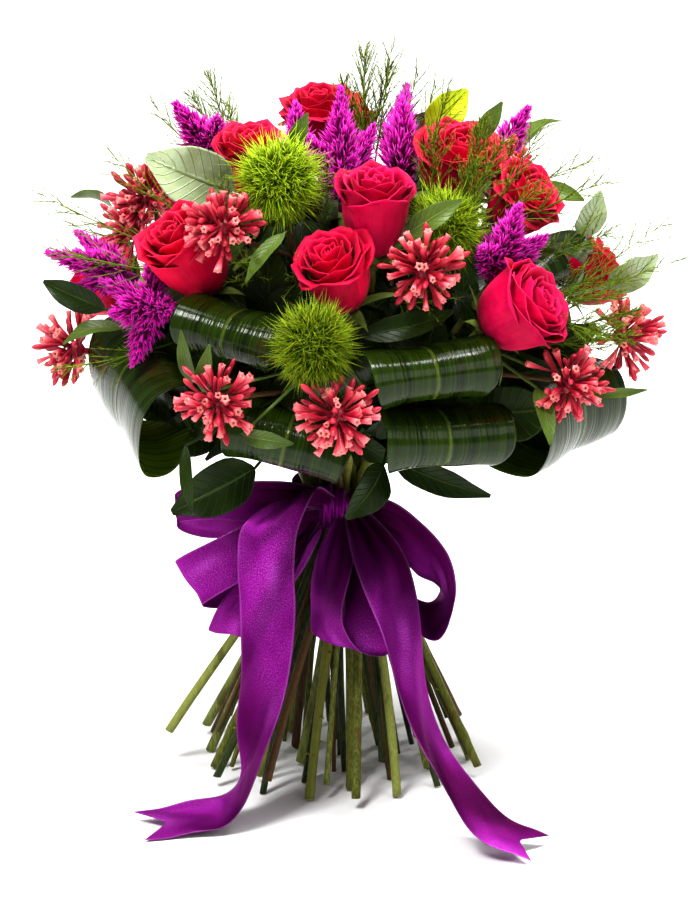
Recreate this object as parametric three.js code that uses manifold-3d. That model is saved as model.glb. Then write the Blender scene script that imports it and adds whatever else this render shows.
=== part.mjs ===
// A hand-tied rose bouquet that stands on its own cut stems: roses, green dianthus balls, plumed celosia,
// trumpet clusters, rolled aspidistra leaves, loose leaves and fern, bound with twine under a satin bow.
// Units are millimetres, +Z is up and -Y is the front. The origin is the centre of the cut end of the middle
// stem, on the surface that the bouquet stands on.
import * as THREE from "three";
import { mergeVertices } from "three/addons/utils/BufferGeometryUtils.js";
import Module from "manifold-3d";

const wasm = await Module();
wasm.setup();

// ---- driving dimensions -------------------------------------------------------------------------------
const TIE_HEIGHT = 184; // middle of the binding above the surface
const TIE_RADIUS = 28; // bound stems at the waist
const WAIST_LENGTH = 24; // stretch in which the stems run side by side
const STEM_PITCH = 7.2; // between stem centres at the waist
const STEM_RADIUS = 3.5;
const PRESSED_HEIGHT = 8; // height under the binding in which the stems are pressed together
const FOOT_SPREAD = 4.7; // how many times wider the stems stand on the floor than at the waist
const FOOT_TWIST = -24; // degrees that the hand spiral turns the stems between waist and floor
const LEVEL_CUT = 94; // stems that stand wider than this are cut a little short
const SHORT_CUT_SLOPE = 0.9;
const STEM_SIDES = 4;
const GAP = 0.35; // clearance left between neighbouring pieces
const CLEAR = 0.8; // clearance kept where a loose piece passes another

const ROSE_SEAT = 5.2; // radius of the flat base on which each flower meets its stem
const BALL_SEAT = 3.4;
const CELOSIA_SEAT = 3.2;
const TRUMPET_SEAT = 2.4;
const TRUMPET_CORE = 6.5;
const TRUMPET_MOUTH = 4.2;
const LEAF_SEAT = 2.4;
const FERN_SEAT = 1.6;

const ROLL_REACH = 74; // from a rolled leaf's foot to the front of its roll
const LEAF_THICKNESS = 0.9;
const PETIOLE_WIDTH = 2.6;
const PETAL_THICKNESS = 1.1;
const RIBBON_WIDTH = 38;
const RIBBON_THICKNESS = 0.8;
const TAIL_NOTCH = 0.06; // depth of the swallow-tail cut as a share of a tail's length

// ---- small helpers ------------------------------------------------------------------------------------
const V = (x, y, z) => new THREE.Vector3(x, y, z);
const UP = V(0, 0, 1);
const rad = THREE.MathUtils.degToRad;
const lerp = THREE.MathUtils.lerp;

/** Unit vector at an azimuth from the front, positive to the right, and an elevation, in degrees. */
function aim(azimuth, elevation) {
  const a = rad(azimuth);
  const e = rad(elevation);
  return V(Math.sin(a) * Math.cos(e), -Math.cos(a) * Math.cos(e), Math.sin(e));
}

/** Matrix that carries local +Z to an axis and local +X to the horizontal beside it, turned by roll. */
function poseAt(origin, azimuth, elevation, roll = 0) {
  const z = aim(azimuth, elevation);
  const x = V(Math.cos(rad(azimuth)), Math.sin(rad(azimuth)), 0);
  const y = z.clone().cross(x);
  const turn = new THREE.Matrix4().makeRotationZ(rad(roll));
  return new THREE.Matrix4().makeBasis(x, y, z).setPosition(origin).multiply(turn);
}

/** A solid from corner points and triangles, whichever way round the triangles were listed. */
function solidFrom(points, triangles) {
  const vertProperties = new Float32Array(points.flatMap((p) => [p.x, p.y, p.z]));
  const volume = triangles.reduce(
    (sum, [a, b, c]) => sum + points[a].dot(points[b].clone().cross(points[c])),
    0,
  );
  const faces = volume < 0 ? triangles.map(([a, b, c]) => [a, c, b]) : triangles;
  const triVerts = new Uint32Array(faces.flat());
  return new wasm.Manifold(new wasm.Mesh({ numProp: 3, vertProperties, triVerts }));
}

/** The corner points and triangles of a closed three.js geometry, with equal points made one. */
function cornersOf(geometry) {
  geometry.deleteAttribute("normal");
  geometry.deleteAttribute("uv");
  const merged = mergeVertices(geometry, 1e-3);
  const p = merged.getAttribute("position");
  const points = Array.from({ length: p.count }, (_, i) => V(p.getX(i), p.getY(i), p.getZ(i)));
  const index = Array.from(merged.index.array);
  const triangles = [];
  for (let i = 0; i < index.length; i += 3) {
    const [a, b, c] = index.slice(i, i + 3);
    if (a !== b && b !== c && a !== c) triangles.push([a, b, c]);
  }
  return { points, triangles };
}

/** A solid from a closed three.js geometry. */
function solidOf(geometry) {
  const { points, triangles } = cornersOf(geometry);
  return solidFrom(points, triangles);
}

const moved = (solid, matrix) => solid.transform(matrix.elements);
const joined = (solids) => wasm.Manifold.union(solids);

/** Whether two solids' boxes come closer than a gap. */
function nearBox(a, b, gap) {
  const p = a.boundingBox();
  const q = b.boundingBox();
  return [0, 1, 2].every((i) => p.min[i] - gap < q.max[i] && q.min[i] - gap < p.max[i]);
}

/** Whether a solid keeps a gap to all of the others. */
function isClear(solid, others, gap) {
  return others.every((other) => !nearBox(solid, other, gap) || solid.minGap(other, gap) >= gap);
}

/**
 * A closed tube through rings. Each ring is {at, along, radius}: its centre, the way its plane faces, and
 * its radius, which may be close to 0 at a tip.
 */
function tube(rings, sides) {
  const points = [];
  const triangles = [];
  let side = Math.abs(rings[0].along.z) > 0.9 ? V(1, 0, 0) : V(0, 0, 1);
  rings.forEach(({ at, along, radius }) => {
    const w = along.clone().normalize();
    const u = side.clone().addScaledVector(w, -side.dot(w)).normalize();
    const v = w.clone().cross(u);
    side = u;
    for (let i = 0; i < sides; i++) {
      const a = (2 * Math.PI * i) / sides;
      const out = u.clone().multiplyScalar(Math.cos(a)).addScaledVector(v, Math.sin(a));
      points.push(at.clone().addScaledVector(out, radius));
    }
  });
  for (let r = 0; r + 1 < rings.length; r++)
    for (let i = 0; i < sides; i++) {
      const [a, b] = [r * sides + i, r * sides + ((i + 1) % sides)];
      triangles.push([a, b, b + sides], [a, b + sides, a + sides]);
    }
  const last = (rings.length - 1) * sides;
  for (let i = 1; i + 1 < sides; i++) triangles.push([0, i + 1, i], [last, last + i, last + i + 1]);
  return solidFrom(points, triangles);
}

/**
 * A thin closed blade. surface(u, v) gives the middle of its thickness, u across and v along, each from 0 to
 * 1. Both faces are split into the same triangles, so that a waved blade never crosses itself.
 */
function blade(surface, across, along, thickness) {
  const step = 0.01;
  const points = [[], []];
  for (let j = 0; j <= along; j++)
    for (let i = 0; i <= across; i++) {
      const [u, v] = [i / across, j / along];
      const p = surface(u, v);
      const du = surface(Math.min(1, u + step), v).sub(surface(Math.max(0, u - step), v));
      const dv = surface(u, Math.min(1, v + step)).sub(surface(u, Math.max(0, v - step)));
      const n = du.cross(dv).normalize().multiplyScalar(thickness / 2);
      points[0].push(p.clone().add(n));
      points[1].push(p.clone().sub(n));
    }
  const count = points[0].length;
  const at = (i, j) => j * (across + 1) + i;
  const triangles = [];
  for (let j = 0; j < along; j++)
    for (let i = 0; i < across; i++) {
      const [a, b, c, d] = [at(i, j), at(i + 1, j), at(i + 1, j + 1), at(i, j + 1)];
      const split = i < across / 2 ? [[a, b, c], [a, c, d]] : [[a, b, d], [b, c, d]];
      for (const [p, q, r] of split) triangles.push([p, q, r], [p + count, r + count, q + count]);
    }
  const rim = [];
  for (let i = 0; i < across; i++) rim.push(at(i, 0));
  for (let j = 0; j < along; j++) rim.push(at(across, j));
  for (let i = across; i > 0; i--) rim.push(at(i, along));
  for (let j = along; j > 0; j--) rim.push(at(0, j));
  rim.forEach((p, k) => {
    const q = rim[(k + 1) % rim.length];
    triangles.push([p, p + count, q + count], [p, q + count, q]);
  });
  return solidFrom([...points[0], ...points[1]], triangles);
}

// ---- flowers, each in its own frame: seat at the origin, growing along +Z ------------------------------

/**
 * A closed body round the Z axis in stacked rings. Each ring gives [radius, height] for its i-th corner; the
 * body closes at the centre of the first ring's height and of the last ring's.
 */
function stacked(rings, around, bottom, top) {
  const points = [V(0, 0, bottom)];
  for (const ring of rings)
    for (let i = 0; i < around; i++) {
      const [r, z] = ring(i);
      const a = (2 * Math.PI * i) / around;
      points.push(V(r * Math.cos(a), r * Math.sin(a), z));
    }
  const end = points.push(V(0, 0, top)) - 1;
  const at = (ring, i) => 1 + ring * around + (i % around);
  const last = rings.length - 1;
  const triangles = [];
  for (let i = 0; i < around; i++) {
    triangles.push([0, at(0, i + 1), at(0, i)], [end, at(last, i), at(last, i + 1)]);
    for (let ring = 0; ring < last; ring++) {
      const [a, b, c, d] = [at(ring, i), at(ring, i + 1), at(ring + 1, i + 1), at(ring + 1, i)];
      triangles.push([a, b, c], [a, c, d]);
    }
  }
  return solidFrom(points, triangles);
}

/** A rose: a cupped heart of closed petals, and a whorl of curved outer petals. */
function rose({ radius, height, open }) {
  const wave = (i) => (i % 2 ? 1 : 0.9);
  const heart = stacked(
    [
      () => [ROSE_SEAT, 0],
      () => [radius * 0.58, height * 0.34],
      (i) => [radius * (0.66 + 0.06 * open) * wave(i), height * 0.94 * wave(i)],
      (i) => [radius * 0.46, height * (0.76 + 0.04 * wave(i))],
      (i) => [radius * 0.3 * wave(i + 1), height * wave(i + 1)],
    ],
    6,
    0,
    height * 0.82,
  );
  const full = radius * (0.88 + 0.16 * open);
  const petals = Array.from({ length: 5 }, (_, k) => {
    const surface = (u, v) => {
      const r = lerp(radius * 0.3, full, Math.sin((v * Math.PI) / 2)) + 4 * open * v * v;
      const z = height * (0.24 + (0.64 - 0.14 * open) * v);
      const side = 2 * u - 1;
      const a = rad(72 * k + side * 34 * Math.min(1, 0.35 + v));
      return V(r * Math.cos(a), r * Math.sin(a), z * (1 - 0.1 * v * side * side));
    };
    return blade(surface, 2, 2, PETAL_THICKNESS);
  });
  return joined([heart, ...petals]);
}

/** A dianthus ball: a round head with a spike on each face of a fine icosahedron, on a short neck. */
function dianthus({ radius, detail }) {
  const core = cornersOf(new THREE.IcosahedronGeometry(radius * 0.74, detail));
  const points = core.points;
  const triangles = core.triangles.flatMap((corner, i) => {
    const middle = corner.reduce((sum, k) => sum.add(points[k]), V(0, 0, 0));
    const tip = points.push(middle.setLength(radius * (i % 2 ? 1 : 0.93))) - 1;
    return corner.map((a, k) => [a, corner[(k + 1) % 3], tip]);
  });
  const head = solidFrom(points, triangles).translate([0, 0, radius + 3]);
  const neck = tube(
    [
      { at: V(0, 0, 0), along: UP, radius: BALL_SEAT },
      { at: V(0, 0, radius * 0.6), along: UP, radius: BALL_SEAT },
    ],
    6,
  );
  return joined([head, neck]);
}

/** One celosia plume from the origin along +Z: tiers of upturned florets, narrowing to a point. */
function plume(length, radius) {
  const tiers = Math.max(3, Math.round(length / 12));
  const fullness = (t) => (0.35 + 0.65 * Math.sin(Math.PI * Math.min(0.5, t * 1.5))) * (1 - t ** 2.4);
  const tierHeight = (length / tiers) * 0.96;
  const rings = Array.from({ length: tiers }, (_, k) => {
    const r = radius * fullness(k / tiers) + 1;
    const isLong = (i) => (i + k) % 2 === 1;
    return [
      () => [r * 0.55, (k + 0.15) * tierHeight],
      (i) => [r * (isLong(i) ? 1.18 : 0.85), (k + 0.8) * tierHeight + (isLong(i) ? 3 : 0)],
    ];
  }).flat();
  return stacked(rings, 5, 0, length + 2);
}

/** A celosia head: a stalk and its plumes, each [length, radius, tilt from the axis, turn, start height]. */
function celosia({ plumes }, fits) {
  const stalk = tube(
    [
      { at: V(0, 0, 0), along: UP, radius: CELOSIA_SEAT },
      { at: V(0, 0, 14), along: UP, radius: CELOSIA_SEAT },
    ],
    5,
  );
  const heads = plumes.map(([length, radius, tilt, turn, start]) => {
    const lean = new THREE.Matrix4().makeRotationZ(rad(turn));
    lean.multiply(new THREE.Matrix4().makeRotationX(rad(tilt)));
    const side = new THREE.Matrix4().makeTranslation(0, 0, start);
    return moved(plume(length, radius), side.multiply(lean));
  });
  return joined([stalk, ...heads.filter(fits)]);
}

/** A trumpet cluster: each upper face of a small many-sided core runs out to the mouth of a flared tube. */
function trumpets({ length, spread, turn }, fits) {
  const core = cornersOf(new THREE.OctahedronGeometry(TRUMPET_CORE, 1).rotateZ(rad(turn)));
  const middleHeight = TRUMPET_CORE + 2;
  const points = core.points.map((q) => q.setZ(q.z + middleHeight));
  const tubeFaces = [
    ...[0, 1, 2].flatMap((k) => {
      const next = (k + 1) % 3;
      return [[k, next, 3 + next], [k, 3 + next, 3 + k]];
    }),
    [3, 4, 5],
  ];
  const triangles = core.triangles.flatMap((root, i) => {
    const middle = root.reduce((sum, k) => sum.add(points[k]), V(0, 0, 0)).divideScalar(3);
    const way = middle.clone().sub(V(0, 0, middleHeight)).normalize();
    const end = middle.clone().addScaledVector(way, length * (i % 2 ? 1 : 0.86));
    const mouth = root.map((k) => points[k].clone().sub(middle).setLength(TRUMPET_MOUTH).add(end));
    const isUpper = way.z > Math.cos(rad(spread));
    const flower = solidFrom([...root.map((k) => points[k]), ...mouth], [[0, 2, 1], ...tubeFaces]);
    if (!isUpper || !fits(flower)) return [root];
    const ids = [...root, ...mouth.map((q) => points.push(q) - 1)];
    return tubeFaces.map((face) => face.map((k) => ids[k]));
  });
  const stalk = tube(
    [
      { at: V(0, 0, 0), along: UP, radius: TRUMPET_SEAT },
      { at: V(0, 0, TRUMPET_CORE), along: UP, radius: TRUMPET_SEAT },
    ],
    4,
  );
  return joined([stalk, solidFrom(points, triangles)]);
}

/**
 * An aspidistra leaf rolled back on itself: a petiole, then a wide blade that runs outwards, bends over at
 * the front and comes back underneath to its tip. Local +Z is outwards, +Y up and +X across the blade.
 */
function rolledLeaf({ width, drop }) {
  const reach = ROLL_REACH;
  const path = new THREE.CatmullRomCurve3(
    [
      V(0, 0, 3),
      V(0, drop * 0.24, reach * 0.26),
      V(0, drop * 0.48, reach * 0.6),
      V(0, drop * 0.38, reach * 0.9),
      V(0, 0, reach),
      V(0, -drop * 0.38, reach * 0.88),
      V(0, -drop * 0.5, reach * 0.58),
      V(0, -drop * 0.42, reach * 0.28),
    ],
    false,
    "centripetal",
  );
  const half = (v) => (width / 2) * Math.max(0.05, Math.sin(Math.PI * v ** 0.85)) ** 0.55;
  const surface = (u, v) => {
    const p = path.getPoint(v);
    const x = (2 * u - 1) * half(v);
    const hollow = 2.2 * (1 - Math.abs(2 * u - 1));
    const outwards = V(0, p.y, p.z - reach * 0.62).normalize();
    return p.setX(x).addScaledVector(outwards, -hollow);
  };
  const petiole = tube(
    [
      { at: V(0, 0, 0), along: UP, radius: LEAF_SEAT },
      { at: path.getPoint(0.08), along: path.getTangent(0.08), radius: LEAF_SEAT * 0.8 },
    ],
    4,
  );
  return joined([petiole, blade(surface, 2, 8, LEAF_THICKNESS)]);
}

/** A fern spray: two crossed fronds on one rib, with slender leaflets cut to the rib, and a bowed tip. */
function fern({ length, pairs, bend }, fits) {
  const side = (sign) =>
    Array.from({ length: pairs }, (_, k) => {
      const z = length * (0.16 + (0.76 * k) / pairs);
      const reach = length * 0.3 * Math.sin(Math.PI * (0.25 + (0.68 * k) / pairs));
      return [[sign * 1.1, z], [sign * (1.1 + reach), z + reach * 0.9]];
    }).flat();
  const outline = [[-FERN_SEAT, 0], [FERN_SEAT, 0], ...side(1), [0, length], ...side(-1).reverse()];
  const shape = new THREE.Shape(outline.map(([x, z]) => new THREE.Vector2(x, z)));
  const frond = (turn) => {
    const flat = new THREE.ExtrudeGeometry(shape, { depth: 1.2, bevelEnabled: false }).translate(0, 0, -0.6);
    return solidOf(flat.rotateX(Math.PI / 2).rotateZ(rad(turn)));
  };
  const bowed = (solid) =>
    solid.warp((p) => {
      p[1] += bend * (p[2] / length) ** 2;
    });
  const foot = tube(
    [
      { at: V(0, 0, 0), along: UP, radius: FERN_SEAT },
      { at: V(0, 0, 6), along: UP, radius: FERN_SEAT },
    ],
    4,
  );
  return joined([foot, bowed(joined([frond(0), frond(90)].filter(fits)))]);
}

// ---- where everything stands ---------------------------------------------------------------------------
// Each head: its name, kind, the middle of what shows (x, y, z), the way it faces (azimuth from the front,
// elevation) and its own sizes. reach is from the seat to that middle.
const COLOURS = {
  rose: { color: 0xd00a30, roughness: 0.5 },
  dianthus: { color: 0x7fb81e, roughness: 0.7 },
  celosia: { color: 0xa80a98, roughness: 0.6 },
  trumpets: { color: 0xe04a52, roughness: 0.45 },
  rolledLeaf: { color: 0x1f4716, roughness: 0.3 },
  fern: { color: 0x4d7a26, roughness: 0.7 },
};

const roseHead = (name, x, y, z, azimuth, elevation, radius, height, open) => ({
  name: `rose_${name}`, kind: rose, colour: COLOURS.rose, seat: ROSE_SEAT,
  x, y, z, azimuth, elevation, radius, height, open, reach: height * 0.55, roll: 15 * name.length,
});
const ballHead = (name, x, y, z, azimuth, elevation, radius, detail) => ({
  name: `dianthus_${name}`, kind: dianthus, colour: COLOURS.dianthus, seat: BALL_SEAT,
  x, y, z, azimuth, elevation, radius, detail, reach: radius,
});
const celosiaHead = (name, x, y, z, azimuth, elevation, plumes) => ({
  name: `celosia_${name}`, kind: celosia, colour: COLOURS.celosia, seat: CELOSIA_SEAT,
  x, y, z, azimuth, elevation, plumes, reach: 30,
});
const trumpetHead = (name, x, y, z, azimuth, elevation, length, spread) => ({
  name: `trumpets_${name}`, kind: trumpets, colour: COLOURS.trumpets, seat: TRUMPET_SEAT,
  x, y, z, azimuth, elevation, length, spread, reach: 16, turn: 11 * name.length,
});
const rollHead = (name, x, y, z, azimuth, elevation, roll, width, drop) => ({
  name: `rolled_leaf_${name}`, kind: rolledLeaf, colour: COLOURS.rolledLeaf, seat: LEAF_SEAT,
  x, y, z, azimuth, elevation, roll, width, drop, reach: ROLL_REACH,
});
const fernHead = (name, x, y, z, azimuth, elevation, length, pairs, bend) => ({
  name: `fern_${name}`, kind: fern, colour: COLOURS.fern, seat: FERN_SEAT,
  x, y, z, azimuth, elevation, length, pairs, bend, reach: 0,
});

const HEADS = [
  roseHead("front", 23, -114, 408, 4, 66, 25, 60, 0.15),
  roseHead("centre", -4, -142, 374, -14, 48, 27, 50, 0.7),
  roseHead("right_open", 120, -124, 348, 40, 18, 31, 50, 1),
  roseHead("left", -94, -95, 376, -40, 54, 27, 64, 0.3),
  roseHead("upper_left", -60, 0, 419, -20, 74, 25, 56, 0.2),
  roseHead("top", -14, 42, 438, -10, 80, 26, 50, 0.6),
  roseHead("upper_right", 78, -28, 420, 28, 64, 29, 56, 0.5),
  roseHead("right_shoulder", 124, -34, 392, 58, 42, 27, 50, 0.6),
  roseHead("right_side", 170, 28, 338, 96, 18, 26, 48, 0.5),
  roseHead("back_left", -106, 106, 376, -132, 44, 27, 54, 0.5),
  roseHead("back_top", -8, 116, 414, 178, 62, 28, 54, 0.6),
  roseHead("back_right", 92, 112, 388, 140, 46, 27, 54, 0.3),
  roseHead("back_low", -38, 164, 336, -166, 24, 30, 50, 0.9),
  roseHead("left_side", -160, 88, 312, -118, 16, 26, 50, 0.6),

  ballHead("upper_left", -37, -98, 418, -18, 62, 26, 2),
  ballHead("front", -16, -176, 335, 0, 14, 27, 2),
  ballHead("right", 66, -100, 388, 24, 46, 23, 1),
  ballHead("back", 48, 160, 350, 164, 34, 25, 1),
  ballHead("back_left", -112, 136, 300, -142, 12, 25, 1),

  celosiaHead("left", -160, -22, 348, -84, 20, [
    [50, 14, 4, 0, 10], [42, 12, 44, 100, 10], [38, 12, 44, 250, 10],
  ]),
  celosiaHead("left_front", -134, -92, 338, -52, 12, [
    [38, 15, 0, 0, 12], [34, 13, 56, 0, 12], [34, 13, 60, 105, 12], [32, 12, 62, 180, 12],
    [32, 13, 60, 265, 12],
  ]),
  celosiaHead("upper_left", -96, 48, 424, -62, 52, [[46, 13, 0, 0, 10], [36, 11, 44, 120, 10]]),
  celosiaHead("top_left", -27, -30, 422, -18, 84, [[60, 14, 0, 0, 8]]),
  celosiaHead("top", 2, -54, 420, -4, 84, [
    [76, 15, 3, 200, 8], [50, 12, 26, 110, 12], [44, 12, 30, 280, 14],
  ]),
  celosiaHead("top_right", 40, -6, 420, 8, 86, [[60, 15, 0, 0, 8]]),
  celosiaHead("upper_right", 112, 48, 416, 66, 60, [[50, 13, 0, 0, 10], [40, 11, 44, 270, 10]]),
  celosiaHead("right", 104, -100, 378, 32, 62, [
    [58, 15, 0, 0, 8], [40, 12, 40, 70, 12], [40, 12, 44, 290, 12],
  ]),
  celosiaHead("back", 40, 100, 414, 160, 60, [[56, 15, 0, 0, 8], [40, 12, 40, 200, 12]]),

  trumpetHead("left", -180, -26, 292, -88, 4, 24, 88),
  trumpetHead("upper_left", -130, -22, 396, -62, 42, 23, 92),
  trumpetHead("inner_left", -74, -130, 400, -24, 36, 22, 92),
  trumpetHead("front_left", -76, -176, 296, -14, 6, 23, 100),
  trumpetHead("front", -1, -196, 292, 0, 4, 23, 100),
  trumpetHead("centre", 54, -158, 378, 16, 34, 23, 100),
  trumpetHead("front_right", 148, -128, 294, 46, -4, 24, 90),
  trumpetHead("right", 190, -32, 304, 84, 12, 24, 88),
  trumpetHead("upper_right", 108, 0, 412, 48, 66, 20, 80),
  trumpetHead("back_left", -140, 24, 366, -104, 34, 22, 88),
  trumpetHead("back", 4, 186, 302, 180, 6, 23, 92),

  rollHead("front_right_upper", 62, -168, 310, 20, 6, 2, 88, 38),
  rollHead("front_right_lower", 70, -158, 260, 22, -9, -4, 90, 40),
  rollHead("front_left_upper", -74, -146, 328, -27, 2, -8, 74, 36),
  rollHead("front_left_lower", -36, -152, 256, -12, -12, -14, 84, 40),
  rollHead("left", -150, -80, 268, -64, -6, 6, 84, 68),
  rollHead("right", 172, -64, 244, 66, -10, 0, 86, 54),
  rollHead("right_upper", 166, -20, 346, 82, 18, 4, 48, 32),
  rollHead("top", 66, 36, 440, 60, 74, 0, 38, 28),
  rollHead("back_left", -108, 128, 258, -140, -8, 0, 84, 44),
  rollHead("back", 10, 166, 254, 176, -10, 0, 88, 42),
  rollHead("back_right", 132, 104, 284, 128, -4, 0, 84, 44),

  fernHead("top", 16, 12, 402, 4, 84, 82, 6, 8),
  fernHead("upper_right", 74, -66, 388, 40, 58, 70, 6, 14),
  fernHead("right", 150, -74, 318, 66, 14, 66, 6, -10),
  fernHead("back_left", -70, 120, 384, -152, 44, 70, 6, 10),
];

// Loose leaves that grow from the stems: base, tip, width and how far the middle bows (all mm).
const LEAVES = [
  [[-70, -26, 400], [-120, -40, 426], 32, 6],
  [[60, 10, 432], [84, 12, 460], 24, 3],
  [[40, -126, 390], [76, -130, 414], 16, 3],
  [[134, 6, 392], [154, 4, 388], 11, 3],
  [[158, 0, 362], [168, -6, 392], 17, 3],
  [[176, -8, 330], [206, -12, 350], 20, 4],
  [[-54, -112, 236], [-106, -136, 214], 34, 5],
  [[28, -104, 236], [4, -130, 208], 26, 5],
  [[34, -92, 236], [96, -120, 220], 20, 6],
  [[16, -150, 338], [72, -172, 354], 14, -5],
  [[-34, -126, 392], [-58, -140, 364], 11, 4],
  [[-140, -62, 316], [-178, -66, 306], 15, 5],
  [[-60, -168, 274], [-28, -182, 272], 12, 4],
  [[118, -98, 258], [166, -108, 246], 22, 5],
  [[-56, 84, 226], [-112, 116, 200], 32, 5],
  [[40, 104, 236], [80, 128, 208], 30, 5],
  [[-150, 92, 356], [-184, 104, 366], 24, 5],
  [[120, 82, 402], [150, 100, 420], 24, 5],
];

// ---- putting the heads in place ------------------------------------------------------------------------
const placed = [];

for (const head of HEADS) {
  const way = aim(head.azimuth, head.elevation);
  const seat = V(head.x, head.y, head.z).addScaledVector(way, -head.reach);
  const matrix = poseAt(seat, head.azimuth, head.elevation, head.roll ?? 0);
  const earlier = placed.map((p) => p.solid);
  const fits = (repeat) => isClear(moved(repeat, matrix), earlier, CLEAR);
  const solid = moved(head.kind(head, fits), matrix);
  placed.push({ head, seat, way, solid });
}

// ---- stems ---------------------------------------------------------------------------------------------

/** Places in a hexagonal packing round the axis, nearest first. */
function waistSlots(count) {
  const slots = [];
  for (let row = -6; row <= 6; row++)
    for (let k = -6; k <= 6; k++)
      slots.push(V((k + row / 2) * STEM_PITCH, row * STEM_PITCH * Math.sqrt(0.75), 0));
  return slots.sort((a, b) => a.length() - b.length()).slice(0, count);
}

/** Pairs every head with a waist slot on its own side, the widest heads first. */
function slotsFor(heads) {
  const free = waistSlots(heads.length);
  const order = [...heads].sort((a, b) => Math.hypot(b.seat.x, b.seat.y) - Math.hypot(a.seat.x, a.seat.y));
  const widest = Math.hypot(order[0].seat.x, order[0].seat.y);
  const chosen = new Map();
  for (const item of order) {
    const wish = V(item.seat.x, item.seat.y, 0).multiplyScalar(TIE_RADIUS / widest);
    free.sort((a, b) => a.distanceTo(wish) - b.distanceTo(wish));
    chosen.set(item, free.shift());
  }
  return chosen;
}

/** Sideways bends to try, as [across, up] from the straight line, the slightest first. */
const BENDS = [0, 12, 24, 38, 54].flatMap((far) =>
  far === 0
    ? [[0, 0]]
    : [0, 45, 90, 135, 180, 225, 270, 315].map((a) => [far * Math.cos(rad(a)), far * Math.sin(rad(a))]),
);

/**
 * The upper part of a stem, from a start point to a head's seat, bent until it passes clear of every other
 * head. Returns its rings, or nothing when no bend is clear.
 */
function upperRings(start, radius, { seat, way, solid }, obstacles) {
  const top = seat.clone().addScaledVector(way, -GAP);
  const line = top.clone().sub(start);
  const across = way.clone().cross(UP).normalize();
  const upwards = line.clone().cross(across).normalize();
  for (const [sideways, rise] of BENDS) {
    const middle = start.clone().lerp(top, 0.58).addScaledVector(way, -line.length() * 0.08);
    middle.addScaledVector(across, sideways).addScaledVector(upwards, rise);
    const rings = [
      { at: start, along: line, radius },
      { at: middle, along: line, radius: radius * 0.9 },
      { at: top, along: way, radius: Math.min(radius, 3.5) },
    ];
    const piece = tube(rings, STEM_SIDES);
    if (isClear(piece, obstacles, GAP) && piece.minGap(solid, 1) > GAP - 0.1) return rings;
  }
  return null;
}

/** A whole stem: cut end on the floor, through the waist, and up to the head's seat. */
function stemOf(item, slot, obstacles, earlier) {
  const turned = slot.clone().applyAxisAngle(UP, rad(FOOT_TWIST)).multiplyScalar(FOOT_SPREAD);
  const short = Math.max(0, turned.length() - LEVEL_CUT) * SHORT_CUT_SLOPE;
  const low = slot.clone().setZ(TIE_HEIGHT - WAIST_LENGTH / 2);
  const high = slot.clone().setZ(TIE_HEIGHT + WAIST_LENGTH / 2);
  const upper =
    upperRings(high, STEM_RADIUS, item, [...obstacles, ...earlier]) ??
    upperRings(high, STEM_RADIUS, item, obstacles);
  if (!upper) throw new Error(`${item.head.name}: no clear way for its stem`);
  upper[0].along = UP;
  const rings = [
    { at: turned.setZ(short), along: UP, radius: STEM_RADIUS },
    { at: low, along: UP, radius: STEM_RADIUS },
    ...upper,
  ];
  return { rings, solid: tube(rings, STEM_SIDES) };
}

/** Points along the upper parts of the stems, where a branch or a leaf can grow from. */
function jointsOn(stems) {
  const shares = [0.12, 0.3, 0.5, 0.7, 0.9];
  return stems.flatMap(({ rings }) =>
    [2, 3].flatMap((k) => shares.map((t) => rings[k].at.clone().lerp(rings[k + 1].at, t))),
  );
}

/** A thinner stem that branches off the nearest whole stem from which it finds a clear way. */
function branchOf(item, joints, obstacles) {
  const target = item.seat.clone().addScaledVector(item.way, -34);
  const cost = (p) => p.distanceTo(target) + Math.max(0, p.z - target.z + 10);
  for (const joint of [...joints].sort((a, b) => cost(a) - cost(b))) {
    const rings = upperRings(joint, 2.2, item, obstacles);
    if (rings) return tube(rings, 4);
  }
  throw new Error(`${item.head.name}: no clear way for its branch`);
}

const isBranch = ({ head }) => head.kind === fern || head.kind === trumpets;
const heads = placed.map((p) => p.solid);
const othersOf = (item) => placed.filter((p) => p !== item).map((p) => p.solid);
const whole = placed.filter((item) => !isBranch(item));
const slots = slotsFor(whole);
const stems = [];
for (const item of whole) {
  const earlier = stems.map((stem) => stem.solid);
  stems.push(stemOf(item, slots.get(item), othersOf(item), earlier));
}
const joints = jointsOn(stems);
const branches = placed.filter(isBranch).map((item) => branchOf(item, joints, othersOf(item)));

/**
 * A loose leaf in one blade: a slender petiole out of the nearest stem from which it passes clear of the
 * flowers, then an arched leaf that widens past its base and narrows to the tip.
 */
function looseLeaf([base, tip, width, bow]) {
  const from = V(...base);
  const to = V(...tip);
  const along = to.clone().sub(from);
  const outwards = V(from.x, from.y, from.z - TIE_HEIGHT - 60).normalize();
  const across = along.clone().cross(outwards).normalize();
  const normal = across.clone().cross(along).normalize();
  const petioleShare = 0.25;
  const leafFrom = (joint) => (u, v) => {
    const side = 2 * u - 1;
    const t = Math.max(0, (v - petioleShare) / (1 - petioleShare));
    const half = t > 0 ? (width / 2) * Math.sin(Math.PI * (0.03 + 0.93 * t ** 0.8)) : PETIOLE_WIDTH / 2;
    const onPetiole = joint.clone().lerp(from, v / petioleShare);
    const middle = t > 0 ? from.clone().addScaledVector(along, t) : onPetiole;
    const arch = (bow + 0.16 * width * Math.abs(side)) * Math.sin(Math.PI * t);
    return middle.addScaledVector(across, side * half).addScaledVector(normal, arch);
  };
  for (const joint of [...joints].sort((a, b) => a.distanceTo(from) - b.distanceTo(from))) {
    const leaf = blade(leafFrom(joint), width > 18 ? 2 : 1, 4, LEAF_THICKNESS);
    if (isClear(leaf, heads, GAP)) return leaf;
  }
  throw new Error(`leaf at ${base} finds no clear way`);
}

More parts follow.
